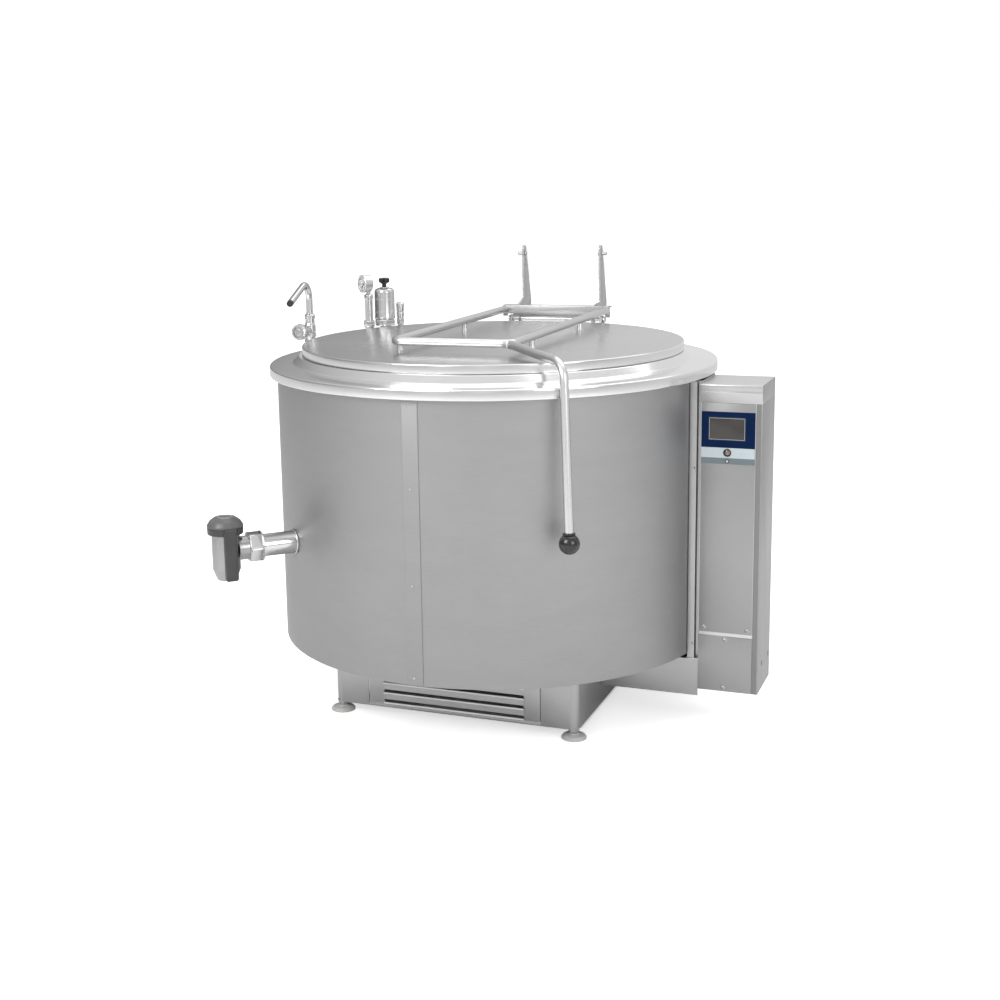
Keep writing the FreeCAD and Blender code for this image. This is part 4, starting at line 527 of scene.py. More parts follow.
def seam_strips():
    half, inner, outer = degrees(20.5 / CASING_R), 563.1, 564.6
    for centre, name in ((-90.0, "seam_strip_front"), (90.0, "seam_strip_rear")):
        profile = ((inner, 185), (outer, 185), (outer, 894), (inner, 894))
        strip = Piece(name).lathe(profile, 14, bevel=0.5, start=centre - half, end=centre + half)
        strip.finish(CASING_STEEL)
        rivets = Piece(name=name + "_rivets")
        for z in STRIP_RIVETS:
            head = curve((0, 0), (4.0, 0), (4.0, 0.9, 0.5), (2.4, 2.2, 1.5), (0, 2.5))
            rivets.spin(head, 20, turn_z(centre) @ at(outer - 0.2, -3.0, z) @ TO_RIGHT)
        rivets.finish(PLATE_STEEL)


def rim():
    low = RIM_TOP - RIM_BAND
    profile = loop(
        (RIM_R - 14, low + 1.2), (RIM_R - 14, low), (RIM_R, low, 2.5), (RIM_R, RIM_TOP, 4.5),
        (COLLAR_FOOT, RIM_TOP + 4.5, 7), (COLLAR_TOP, LEDGE, 4), (471, LEDGE, 0.8), (471, LEDGE - 2),
        (COLLAR_TOP - 2, LEDGE - 2, 2), (COLLAR_FOOT - 2, RIM_TOP + 2.5, 6), (RIM_R - 1.5, RIM_TOP - 1.5, 3),
        (RIM_R - 1.5, low + 1.2), steps=6,
    )
    Piece("rim_ring").lathe(profile, 288).finish(RIM_STEEL, slot="stainless_polished")


# Lid


def lid():
    wide, low = LID_R, 924.2
    profile = curve(
        (0, LID_TOP - 2), (wide - 2, LID_TOP - 2, 1.5), (wide - 2, low), (wide, low, 0.6),
        (wide, LID_TOP, 3.2), (0, LID_TOP), steps=6,
    )
    plate = Piece("lid_plate")
    plate.spin(profile, 288)
    plate.paint(1, lambda normal: abs(normal.z) < 0.85)
    plate.finish([LID_STEEL, RIM_STEEL], "lid", "stainless_polished")


def lid_frame():
    half, r = FRAME_HALF, TUBE_R
    corners = ((-half, FRAME_REAR), (-half, -FRAME_FRONT), (half, -FRAME_FRONT), (half, FRAME_REAR))
    path = rounded([(x, y, FRAME_Z) for x, y in corners], FRAME_BEND, steps=12)
    tube = Piece("lid_frame", "lid_frame_tube")
    tube.tube(path, r, 40)
    for x in (-half, half):
        seam = rounded(((r - 1, -2.6), (r + 1.4, -1.2), (r - 1, 0)), 0.8, steps=3)
        tube.lathe(seam, 32, at(x, FRAME_REAR, FRAME_Z) @ TO_REAR)
    tube.finish(TUBE_STEEL, "lid", "stainless_polished")


def lid_lever():
    """Bent tube that leaves the right front corner of the frame at 45 degrees, and its ball."""
    r, inset = TUBE_R, FRAME_BEND * (1 - sqrt(0.5))
    start = Vector((FRAME_HALF - inset, -FRAME_FRONT + inset, FRAME_Z - 0.5))
    out = Vector((cos(radians(-45)), sin(radians(-45)), 0))
    bend = start + out * LEVER_BEND
    bend.z = 957
    foot = start + out * LEVER_FOOT
    foot.z = 553
    lever = Piece("lid_lever", "lid_lever_tube")
    lever.tube(rounded((start, bend, foot), 46, steps=16), r, 40)
    along = (bend - start).normalized()
    ring = rounded(((r - 1, 0), (r + 2.0, 1.6), (r - 1, 4.5)), 1.0, steps=3)
    lever.lathe(ring, 32, aimed(start + along * 9.2, along))
    lever.finish(TUBE_STEEL, "lid", "stainless_polished")

    place = aimed((foot.x, foot.y, 545), (bend - foot).normalized())
    ball = Piece("lever_ball")
    profile = [(24.7 * sin(a), -24.7 * cos(a)) for a in [pi * k / 30 for k in range(26)]]
    profile += curve((15.2, 21.5), (15.0, 26.2, 1.6), (10.7, 26.6, 0.6), (10.7, 15), steps=4)
    ball.spin(profile, 64, place)
    ball.finish(BALL_PLASTIC, "lid", "black_plastic")


def lid_studs():
    studs = Piece("lid_studs")
    for x, y in STUDS:
        profile = curve((0, 946.4), (8.5, 946.4), (8.5, 948.2, 0.5), (7.5, 949.2, 0.5), (7.5, 965), (0, 965))
        studs.spin(profile, 28, at(x, y))
    studs.finish(TUBE_STEEL, "lid")


def crossbar():
    bar = Piece("lid_crossbar")
    low, top, half = 953, 986, 164
    web = [(-half, low)]
    for middle in (-NOTCH_X, NOTCH_X):
        a, b = middle - 9, middle + 9
        web += [(a, low), (a, 960), (b, 960), (b, low)]
    web += [(half, low), (half, top), (-half, top)]
    bar.prism(web, 552, 556, "XZ", bevel=0.6)
    bar.block((-half, 555, 982), (half, 576, 986), bevel=0.8)
    ear = loop(
        (552.4, 983), (552.4, 942, 2), (556, 935.2, 4), (564, 935.2, 4), (570.8, 942, 4), (570.8, 951, 4),
        (570, 983), steps=4,
    )
    for x in (-EAR_X, EAR_X):
        bar.prism(ear, x - 4, x + 4, "YZ", bevel=0.5)
    bar.finish(PLATE_STEEL, "lid")


def lid_arms():
    outline = (
        (576, 965, 1), (656, 965, 6), (672, 981, 8), (672, 992, 6), (636, 1122, 10), (628, 1150, 6),
        (622, 1158, 4), (613, 1158, 4), (608, 1150, 6),
    )
    flared = ((606, 1004, 4), (556, 986.1), (576, 986.1))
    stepped = ((606, 992, 4), (558, 992), (558, 986.1), (576, 986.1))
    pin_y, pin_z = 618, 1134
    for side, name, tail in ((-1, "lid_arm_left", flared), (1, "lid_arm_right", stepped)):
        x = ARM_X * side
        arm = Piece(name)
        arm.prism(loop(*outline, *tail, steps=4), x - 3, x + 3, "YZ", bevel=0.6)
        stub = curve((0, -7), (7, -7, 0.6), (7, -3.5, 0.6), (4.5, -3), (4.5, 16, 0.8), (3.6, 18, 0.6), (0, 18))
        outwards = Matrix.Rotation(pi / 2 * side, 4, "Y")
        arm.spin(stub, 28, at(x, pin_y, pin_z) @ outwards)
        arm = arm.finish(PLATE_STEEL, "lid")
        holes = Piece(name="cutter")
        for z in (pin_z - 18, pin_z - 34):
            holes.spin(((0, -20), (2.5, -20), (2.5, 20), (0, 20)), 20, at(x, 620, z) @ TO_RIGHT)
        cut_away(arm, holes)


def hinge():
    half = ((0, 148), (8, 148), (9, 147), (9, 143), (6, 143))
    profile = rounded([(r, -z) for r, z in half] + list(reversed(half)), 0.4, steps=2)
    shaft = Piece("hinge_shaft").spin(profile, 32, at(0, HINGE_Y, HINGE_Z) @ TO_RIGHT)
    shaft.finish(FITTING_STEEL, "lid")
    for x, name in ((-BRACKET_X, "hinge_bracket_left"), (BRACKET_X, "hinge_bracket_right")):
        bracket = Piece(name)
        foot = ((518, 904.3), (562, 901.0), (562, 906), (518, 909.0))
        bracket.prism(foot, x - 20, x + 20, "YZ", bevel=0.6)
        lug = loop(
            (524, 907), (562, 904), (571, 941, 6), (571, 951, 5), (565, 957, 5), (555, 957, 5), (549, 950, 5),
            steps=4,
        )
        bracket.prism(lug, x - 4, x + 4, "YZ", bevel=0.5)
        bracket.finish(PLATE_STEEL)


# Drain


AT_VALVE = turn_z(DRAIN_TURN, VALVE_AT * cos(radians(DRAIN_TURN)), VALVE_AT * sin(radians(DRAIN_TURN)))


def radial(distance):
    """Frame whose local Z runs outwards along the drain, starting at one distance."""
    return turn_z(DRAIN_TURN) @ at(distance, 0, DRAIN_Z) @ TO_RIGHT


def drain_pipe():
    pipe = Piece("drain_pipe")
    path = rounded(((0, 0, 528), (0, 0, DRAIN_Z), (669, 0, DRAIN_Z)), 46, steps=12)
    for r in (28.5, 26.5):
        pipe.tube(path, r, 48, turn_z(DRAIN_TURN), caps=False)
    seat = loop((26.5, 526.5), (64, 526.5, 0.6), (64, 529.5, 0.6), (28, 529.5, 1), (26.5, 528))
    pipe.lathe(seat, 64)
    shroud = loop((28, 0), (31.6, 0, 0.6), (31.6, 3, 1.4), (28.3, 3.6, 0.3))
    pipe.lathe(shroud, 48, radial(SHROUD_AT))
    collar = rounded(((27, 0), (32, 0), (32, 6), (27, 6)), 0.8, True, 3)
    pipe.lathe(collar, 48, radial(END_COLLAR_AT))
    pipe.finish(FITTING_STEEL, slot="stainless_polished")


def drain_union():
    union = Piece("drain_union")
    half_flats, tip = 34.0, 68 / sqrt(3)
    corners = ((0, 1), (1, 0.5), (1, -0.5), (0, -1), (-1, -0.5), (-1, 0.5))
    hexagon = [(a * half_flats, b * tip) for a, b in corners]
    union.prism(rounded(hexagon, 2.0, True, 3), 3.8, 35.5, "XY", radial(UNION_AT), bevel=1.5, segments=3)
    cheek = loop((28.8, 0), (38.5, 0, 0.9), (38.5, 3.2, 0.6), (36, 4.2, 0.5), (28.8, 4.2))
    union.lathe(cheek, 48, radial(UNION_AT))
    nose = loop((28.8, 34), (32.5, 34), (32.5, 36.8, 0.4), (31.9, 37.4, 0.4), (28.8, 37.4))
    union.lathe(nose, 48, radial(UNION_AT))
    union.finish(FITTING_STEEL, slot="stainless_polished")


def drain_valve():
    valve = Piece("drain_valve_body", "drain_valve_dressed")
    body = loop(
        (17, 399), (17, 396, 0.5), (24, 396, 0.8), (25, 398, 0.6), (26.4, 400, 1), (35, 423, 5),
        (35, 521.5, 1.5), (8.3, 521.5), (8.3, 514.5), (27, 514.5), (27, 432), (17, 432), steps=5,
    )
    valve.lathe(body, 64, AT_VALVE)
    neck = loop((25, -66.6), (30, -66.6), (30, -34, 4), (31, -27, 2), (25, -27), steps=4)
    valve.lathe(neck, 48, radial(VALVE_AT))
    threads = [(25, -74.6)]
    for k in range(4):
        z = -74.6 + k * 2.0
        threads += [(30.6, z + 0.1), (32, z + 1.0), (30.6, z + 1.9)]
    threads += [(30, -66), (25, -66)]
    valve.lathe(threads, 48, radial(VALVE_AT))
    valve.finish(VALVE_STEEL, slot="stainless_polished")


def drain_handle():
    handle = Piece("drain_handle")
    band = loop(
        (8.1, 522.2), (38, 522.2, 1), (38, 513.5), (44.5, 513.5, 1.2), (45.4, 530.5, 1.2), (43, 531.5),
        (8.1, 531.5), steps=4,
    )
    # band in the darker copy of the cap plastic: painted shade
    handle.lathe(band, 64, AT_VALVE, mat=1)
    dome = curve(
        (30, 531.5), (45.5, 531.5, 0.8), (45.4, 535.5, 2.5), (38.5, 546.8, 14), (26, 555.3, 3), (0, 555.6),
        steps=6,
    )
    handle.spin(dome, 64, AT_VALVE)
    line = rounded(((16.8, 555.2), (19.4, 555.2), (19.4, 556.5), (16.8, 556.5)), 0.3, True, 2)
    handle.lathe(line, 64, AT_VALVE, mat=2)
    grip = loop(
        (-16, 532.5), (-16, 404.5, 6), (-13, 400.5, 5), (13, 400.5, 5), (16, 404.5, 6), (16, 532.5), steps=5,
    )
    # grip in the darker copy of the cap plastic too: painted shade
    handle.prism(grip, 35.2, 52.2, "XZ", AT_VALVE, mat=1, bevel=4.0, segments=4)
    handle.finish([CAP_PLASTIC, SHADED_CAP_PLASTIC, TRIM_AND_HIGHLIGHT_STEEL], "drain", "black_plastic")


# Water tap


TAP_FOOT = at(*TAP)
TAP_FRONT = TAP_FOOT @ at(0, 0, 960) @ TO_FRONT


def tap():
    profile = curve(
        (0, 904.4), (22, 904.4, 0.8), (22, 907, 1.5), (17, 911, 3), (16, 916, 3), (16, 934, 1), (13, 937, 0.5),
        (13, 940, 0.5), (16.5, 941, 0.8), (16.5, 948, 0.8), (14, 949), (0, 949), steps=4,
    )
    Piece("tap_column").spin(profile, 40, TAP_FOOT).finish(FITTING_STEEL, slot="chrome")
    body = Piece("tap_body")
    profile = curve(
        (0, 949), (14, 949, 1), (15, 957, 2), (15, 973, 3), (12.5, 979, 3), (12.5, 990, 0.6), (13.5, 991, 0.5),
        (13.5, 993, 0.5), (9.1, 993), (9.1, 981), (0, 981), steps=4,
    )
    body.spin(profile, 40, TAP_FOOT)
    boss = curve(
        (0, 0), (10.5, 0), (10.5, 24, 2), (12.5, 26, 1), (12.5, 38, 1), (10.5, 40, 1), (10.5, 47, 1),
        (5.1, 47), (5.1, 30),
    )
    body.spin(boss, 36, TAP_FRONT)
    body.finish(FITTING_STEEL, slot="chrome")
    nut = ((9.05, 993), (13.6, 993), (14.3, 994), (14.3, 1000), (12.5, 1003), (9.05, 1003))
    collar = Piece("tap_collar").lathe(rounded(nut, 0.6, True, 3), 36, TAP_FOOT)
    collar.finish(FITTING_STEEL, slot="chrome")


def tap_spout():
    turned = turn_z(-80, *TAP)
    spout = Piece("tap_spout", "tap_spout_tube")
    spout.tube(rounded(((0, 0, 982), (0, 0, 1100), (172, 0, 1050)), 45, steps=18), 9, 32, turned)
    bead = rounded(((8.6, 0), (10.4, 1.2), (10.4, 3.4), (8.6, 4.6)), 0.6, True, 3)
    spout.lathe(bead, 32, TAP_FOOT @ at(0, 0, 1003.4))
    spout.finish(FITTING_STEEL, "spout", "chrome")
    nose = Piece("tap_aerator")
    out = turned @ at(172, 0, 1050) @ Matrix.Rotation(pi / 2 - atan2(-50, 172), 4, "Y")
    profile = loop((5.5, 0), (8.4, 0, 0.4), (8.8, 1, 0.4), (8.8, 7.5, 1), (7.8, 9, 1), (6, 9, 0.6), (6, 3))
    nose.lathe(profile, 32, out)
    nose.spin(((0, 4), (6.2, 4), (6.2, 7.8), (0, 7.8)), 32, out)
    nose.finish(BLACK_PLASTIC, "spout", "black_plastic")


def tap_wheel():
    wheel = Piece("tap_knob", "tap_wheel_dressed")
    levels = (
        (53.0, 0.80), (53.4, 0.94), (56.0, 1.0), (66.0, 1.0), (71.5, 0.97), (74.0, 0.84), (74.0, 0.70),
        (71.2, 0.64), (71.2, 0.0),
    )

    def ribbed(a, size):
        lobe = 1.0 - 0.05 * max(0.0, cos(8 * a)) ** 2 * (1.0 if size > 0.9 else 0.35)
        return 21.5 * size * lobe

    wheel.stack(96, levels, ribbed, TAP_FRONT)
    wheel.spin(((0, 16.5), (5, 16.5), (5, 55), (0, 55)), 24, TAP_FRONT)
    badge = curve((0, 71), (9.5, 71), (9.5, 72.2, 0.5), (8, 73.2, 1.5), (0, 73.6))
    wheel.spin(badge, 32, TAP_FRONT, mat=2)
    wheel.lathe(((11.6, 70.9), (12.5, 70.9), (12.5, 71.4), (11.6, 71.4)), 40, TAP_FRONT, mat=1)
    wheel.finish([FITTING_STEEL, DARK_STEEL, PLATE_STEEL], "tap_wheel", "chrome")


# Gauge, safety valve, vent


def base_nut(piece, flats, matrix):
    """Hexagon that a fitting is screwed down by, with turned chamfers."""
    hexagon = rounded(circle(flats / sqrt(3), 6), 0.8, True, 3)
    piece.prism(hexagon, 945, 962, "XY", matrix, bevel=1.0, segments=3)


def gauge():
    stem = Piece("gauge_stem")
    profile = curve(
        (0, 904.8), (15, 904.8, 0.6), (15, 909, 1), (12, 911, 2), (12, 940, 2), (14, 944, 1), (14, 945),
        (11, 946), (11, 1023, 1), (12.5, 1026, 0.8), (12.5, 1037, 1), (8, 1039, 1), (6, 1041, 0.5), (6, 1044),
        (0, 1044),
    )
    here = at(*GAUGE[:2])
    stem.spin(profile, 36, here)
    base_nut(stem, 30, here)
    stem.finish(FITTING_STEEL, slot="chrome")
    facing = turn_z(-127.3, *GAUGE) @ TO_RIGHT
    profile = curve(
        (0, -5), (22, -5, 3), (24.3, -3, 2), (24.3, 14, 0.4), (25.3, 15, 0.6), (25.3, 20.5, 1.2),
        (24, 22, 0.8), (22.3, 21.5, 0.4), (22.3, -2), (0, -2), steps=4,
    )
    Piece("gauge_case").spin(profile, 56, facing).finish(TRIM_AND_HIGHLIGHT_STEEL, slot="chrome")
    dial = Piece("gauge_dial")
    dial.lathe(((1.1, -2), (22.2, -2), (22.2, 14), (1.1, 14)), 48, facing)
    dial.lathe(((21.4, 13.8), (22.25, 13.8), (22.25, 18.3), (21.4, 18.0)), 48, facing)
    # facing maps local X to down and local Y across, so angles start at the bottom of the dial
    steps, sweep = 40, 270
    for k in range(steps + 1):
        inner, wide = (15.2, 0.45) if k % 5 == 0 else (17.2, 0.22)
        mark = ((inner, -wide), (19.8, -wide), (19.8, wide), (inner, wide))
        dial.prism(mark, 13.9, 14.15, "XY", facing @ turn_z(45 - sweep * k / steps), mat=1)
    dial.finish([DIAL_FACE, NEEDLE_PAINT], slot="dial_white")
    pane = curve((0, 18.5), (22.2, 18.5, 0.2), (22.2, 20, 0.4), (0, 20.4), steps=2)
    Piece("gauge_glass").spin(pane, 48, facing).finish(GLASS, slot="clear_glass")


def relief():
    """Safety valve and its star knob."""
    here = at(*RELIEF)
    valve = Piece("relief_valve")
    profile = curve(
        (0, 904.9), (20, 904.9, 0.8), (20, 909, 1), (14, 911, 2), (14, 941, 2), (23, 944.5), (24, 946),
        (24, 964), (30, 965.2, 0.8), (30, 969.4, 0.8), (28.7, 970, 0.3), (28.7, 1043, 5), (25.7, 1049.5, 3),
        (18.7, 1052.5, 3), (13, 1053, 0.6), (13, 1055, 0.8), (4.1, 1055, 0.3), (4.1, 1042), (0, 1042), steps=4,
    )
    valve.spin(profile, 56, here)
    base_nut(valve, 54, here)
    for z in (984, 1020):
        bead = rounded(((28.5, 0), (29.3, 0.6), (29.3, 1.8), (28.5, 2.4)), 0.4, True, 2)
        valve.lathe(bead, 56, here @ at(0, 0, z))
    valve.finish(FITTING_STEEL, slot="chrome")

    knob = Piece("relief_knob")
    levels = (
        (1055.4, 6.0, 0.0), (1056.0, 6.2, 0.0), (1064.0, 6.2, 0.0), (1067.0, 10.5, 0.4), (1070.0, 15.2, 1.0),
        (1073.5, 15.5, 1.0), (1078.0, 15.5, 1.0), (1080.5, 14.6, 0.9), (1081.6, 12.0, 0.4), (1082.0, 8.0, 0.0),
        (1082.0, 0.0, 0.0),
    )
    knob.stack(80, levels, lambda a, r, lobed: r - lobed * 4.8 * max(0.0, cos(5 * a)) ** 1.3, here)
    knob.spin(((0, 1042.5), (4, 1042.5), (4, 1057), (0, 1057)), 24, here)
    knob.finish(BLACK_PLASTIC, "relief", "black_plastic")


def vent():
    vent = Piece("vent_valve")
    profile = curve(
        (0, 905.0), (12, 905.0, 0.6), (12, 908, 0.6), (8.5, 910, 1), (8.5, 944, 1), (9, 946), (9, 965, 0.3),
        (11, 966, 0.6), (11, 979, 0.6), (9, 981, 0.3), (9, 982, 0.3), (11.5, 983, 0.6), (11.5, 1004, 1.6),
        (9, 1008, 2), (0, 1008),
    )
    here = at(*VENT)
    vent.spin(profile, 32, here)
    base_nut(vent, 20, here)
    vent.finish(FITTING_STEEL, slot="chrome")


# Vessel


def vessel():
    inner = curve((0, VESSEL_FLOOR), (260, 545, 900), (VESSEL_R, 606, 62), (VESSEL_R, 921.5), steps=16)
    outer = curve(
        (498, 921.5, 0.5), (498, 918.5, 0.5), (469, 918.5, 2), (469, 603, 64), (260, 541.5, 900), (0, 526.6),
        steps=16,
    )
    # the flange of the drain pipe closes the hole in the bottom from below
    keep = [Vector((60, 532.4, 0))] + [p for p in inner + outer if p.x > 61] + [Vector((60, 529.7, 0))]
    Piece("inner_vessel", "vessel_dressed").lathe(keep, 192).finish(VESSEL_STEEL)


# Plinth, feet, louvres


def plinth():
    """Frame open at front and rear for the louvred panels, with rounded corners and foot plates."""
    body = Piece("plinth_frame", "plinth_dressed")
    x, y, wall, low, top = PLINTH_X, PLINTH_Y, 2.0, PLINTH_LOW, PLINTH_TOP
    opening, corner = 234, 20
    for side in (-1, 1):
        outer, inner = side * x, side * (x - wall)
        run = y - corner
        body.prism([(inner, -run), (outer, -run), (outer, run), (inner, run)], low, top, "XY", bevel=0.4)
        for end in (-1, 1):
            centre = Vector((side * (x - corner), end * run, 0))
            start = {(1, -1): -90, (1, 1): 0, (-1, 1): 90, (-1, -1): 180}[(side, end)]
            angles = [radians(start + 9 * k) for k in range(11)]
            arc = [centre + Vector((cos(a), sin(a), 0)) * corner for a in angles]
            inner_arc = [centre + (p - centre) * (1 - wall / corner) for p in reversed(arc)]
            body.prism(arc + inner_arc, low, top, "XY")
            near, far = sorted((side * opening, side * (x - corner)))
            front, back = sorted((end * y, end * (y - wall)))
            body.block((near, front, low), (far, back, top), bevel=0.4)
            spots = ((x - 70, y - 70), (x - 1, y - 70), (x - 1, y - 9), (x - 9, y - 1), (x - 70, y - 1))
            plate = rounded([(side * a, end * b) for a, b in spots], 1.0, True, 2)
            body.prism(plate, low, low + 4, "XY", bevel=0.3)
    for end in (-1, 1):
        front, back = sorted((end * y, end * (y - wall)))
        for z0, z1 in ((172, top), (low, 33)):
            body.block((-opening, front, z0), (opening, back, z1), bevel=0.4)
    body.finish(PLATE_STEEL)


def plinth_deck():
    """Sheet on top of the plinth with a round hole under the heater."""
    deck = Piece(name="plinth_deck_dressed")
    x, y, sides, hole = PLINTH_X, PLINTH_Y, 64, 190
    verts, faces, outer = [], [], []
    for a, b in circle(1, sides):
        reach = min((x - 0.5) / max(abs(a), 1e-6), (y - 0.5) / max(abs(b), 1e-6))
        corner = Vector((a, b)) * reach
        if abs(corner.x) > x - 14 and abs(corner.y) > y - 14:
            corner *= 0.975
        outer.append(corner)
    for z in (PLINTH_TOP - 3, PLINTH_TOP):
        verts += [(a, b, z) for a, b in circle(hole, sides) + outer]
    low_out, high_in, high_out = sides, 2 * sides, 3 * sides
    for k in range(sides):
        m = (k + 1) % sides
        faces += [
            (k, m, low_out + m, low_out + k), (high_in + k, high_out + k, high_out + m, high_in + m),
            (k, high_in + k, high_in + m, m), (low_out + k, low_out + m, high_out + m, high_out + k),
        ]
    deck.add(verts, faces)
    deck.finish(DARK_STEEL)


def feet():
    for dy, row in ((-1, "front"), (1, "rear")):
        for dx, column in ((-1, "left"), (1, "right")):
            foot = Piece(f"foot_{row}_{column}")
            here = at(dx * FOOT_X, dy * FOOT_Y)
            pad = curve(
                (0, 0), (30.5, 0, 0.8), (31.5, 1.5, 1), (31.5, 4, 2.5), (27, 9.5, 4), (16, 12, 3),
                (12.5, 13, 1), (12.5, 15, 0.8), (0, 15), steps=4,
            )
            foot.spin(pad, 48, here)
            foot.prism(rounded(circle(14.2, 6), 1, True, 2), 15, 24.9, "XY", here, mat=1, bevel=0.8)
            thread = [(0, 24.9)]
            for k in range(20):
                z = 25 + k * 2.2
                thread += [(7.2, z), (8.0, z + 1.1)]
            thread += [(7.2, 69.2), (0, 70)]
            foot.spin(thread, 24, here, mat=1)
            foot.finish([PAD_GREY, PLATE_STEEL])


def louvres():
    for turn, name in ((0, "louvre_panel_front"), (180, "louvre_panel_rear")):
        panel = Piece(name)
        spin = turn_z(turn)
        front, back = -PLINTH_Y, -PLINTH_Y + 1.5
        half, low, top, slot = 232.5, 34.5, 170.5, 189.5
        rows = [47 + 26.5 * k for k in range(5)]
        for a, b in ((-half, -slot), (slot, half)):
            panel.block((a, front, low), (b, back, top), spin, bevel=0.3)
        for z0, z1 in zip([low] + rows, [row - 10 for row in rows] + [top]):
            panel.block((-slot - 0.1, front, z0), (slot + 0.1, back, z1), spin, bevel=0.0)
        for row in rows:
            lip = loop(
                (front + 1.2, row - 11.6), (front - 3.2, row - 11.6, 0.3), (front - 4, row - 10.8, 0.4),
                (front - 3.1, row - 6.9, 0.4), (front - 2.1, row - 6.9, 0.4), (front - 2.6, row - 10.0, 0.3),
                (front + 1.2, row - 10.0),
            )
            # lips in the bright steel instead of the panel's steel: painted highlight
            panel.prism(lip, -191, 191, "YZ", spin, mat=1, bevel=0.25)
        panel.finish([PLATE_STEEL, TRIM_AND_HIGHLIGHT_STEEL])


# Control box


def screw(piece, base, size):
    """Cross-recess pan head that stands up from the base frame, its recess drawn as dark marks of painted
    shade.
    """
    head = curve((0, 0), (size, 0), (size, 0.9, 0.5), (size * 0.6, 2.1, 1.6), (0, 2.3))
    piece.spin(head, 24, base)
    # dark marks in place of the cross recess: painted shade
    for turn in (20, 110):
        piece.block((-size * 0.5, -0.45, 1.6), (size * 0.5, 0.45, 2.42), base @ turn_z(turn), mat=1, bevel=0.0)


def box_shell():
    left, right, front, back = BOX_LEFT, BOX_RIGHT, BOX_FRONT, BOX_BACK
    low, top, wall = BOX_LOW, HOOD_LOW, BOX_WALL
    shell = Piece("box_shell")
    inside = front + wall
    for a, b, mat, bevel in (
        ((left, inside, low), (left + wall, back, top), 0, 0.4),
        ((left, back - wall, low), (right, back, top), 0, 0.5),
        ((left, inside, low), (right, back, low + wall), 0, 0.4),
        # recessed strip right of the door in the darker copy of the box steel: painted shade
        ((right - 15, front + 1.0, low), (right - 3.0, inside + 1, top), 1, 0.0),
        ((right - 3.2, front, low), (right, inside, top), 0, 0.3),
        ((left + 0.8, inside, COVER_TOP + 0.3), (right - 1, front + 3, DOOR_LOW - 0.3), 2, 0.2),
    ):
        shell.block(a, b, mat=mat, bevel=bevel)
    shell.finish([BOX_STEEL, GROOVE_SHADE_STEEL, TRIM_AND_HIGHLIGHT_STEEL])

    side = Piece(name="box_side_dressed")
    side.block((right - wall, front + 0.2, low), (right, back, top), bevel=0.5)
    side = side.finish(BOX_STEEL)
    holes = Piece(name="cutter")
    for y, z in SIDE_SCREWS:
        holes.spin(((0, -4), (6.5, -4), (6.5, 2), (0, 2)), 32, at(right, y, z) @ TO_RIGHT)
    cut_away(side, holes)


def box_hood():
    left, right, front, back, top = BOX_LEFT, BOX_RIGHT, BOX_FRONT, BOX_BACK, HOOD_LOW
    hood = Piece("box_hood")
    outline = loop(
        (back, top), (back, HOOD_TOP, 2.5), (front - 8, HOOD_TOP, 2.5), (front - 8, 857, 0.8),
        (front - 6, 857, 0.4), (front - 6, 851, 0.4), (front - 8, 850, 1), (front, top), steps=4,
    )
    hood.prism(outline, left, right, "YZ", bevel=0.25)
    # every face of the hood but its two ends gets the lighter copy of the box steel, as painted light
    hood.paint(1, lambda normal: abs(normal.x) < 0.9)
    hood.finish([BOX_STEEL, HOOD_LIT_STEEL])


def box_front():
    """Screwed front panel whose side edges are strips of brighter steel as a painted highlight, and the cover
    under it, both with turned-in edges.
    """
    left, edge, front, low, wall = BOX_LEFT, PANEL_EDGE, BOX_FRONT, BOX_LOW, BOX_WALL
    door = Piece("box_door")
    # the outer strips on both side edges take the bright steel: painted highlight
    for x0, x1, mat, bevel in (
        (left, left + 1.3, 1, 0.4), (left + 1.2, edge - 1.1, 0, 0.2), (edge - 1.2, edge, 1, 0.4),
    ):
        door.block((x0, front, DOOR_LOW), (x1, front + wall, DOOR_TOP + 0.2), mat=mat, bevel=bevel)
    for x0, x1, z0, z1 in (
        (left + 1.8, left + 3.3, DOOR_LOW, DOOR_TOP), (edge - wall, edge, DOOR_LOW, DOOR_TOP),
        (left + 1.8, edge, DOOR_LOW, DOOR_LOW + wall), (left + 1.8, edge, DOOR_TOP - wall, DOOR_TOP),
    ):
        door.block((x0, front + wall, z0), (x1, front + FOLD, z1), bevel=0.2)
    door.finish([BOX_STEEL, TRIM_AND_HIGHLIGHT_STEEL])
    cover = Piece("box_lower_cover", "box_cover_dressed")
    cover.block((left, front, low), (edge, front + wall, COVER_TOP), bevel=0.5)
    for z0, z1 in ((COVER_TOP - wall, COVER_TOP), (low + 1.8, low + 3.3)):
        cover.block((left + 1.8, front + wall, z0), (edge, front + FOLD, z1), bevel=0.2)
    cover.finish(BOX_STEEL)


def box_screws():
    right, front = BOX_RIGHT, BOX_FRONT
    screws = Piece(name="box_screws")
    for x, z in FRONT_SCREWS:
        screw(screws, at(x, front - 0.1, z) @ TO_FRONT, 5.6)
    for y, z in SIDE_SCREWS:
        screw(screws, at(right - 2.7, y, z) @ TO_RIGHT, 5.0)
        cup = ((0, -0.6), (7.4, -0.6), (7.4, 1.0), (6.7, 1.0), (6.7, 0), (0, 0))
        screws.spin(cup, 32, at(right - 2.6, y, z) @ TO_RIGHT)
    screws.finish([PLATE_STEEL, DARK_STEEL])


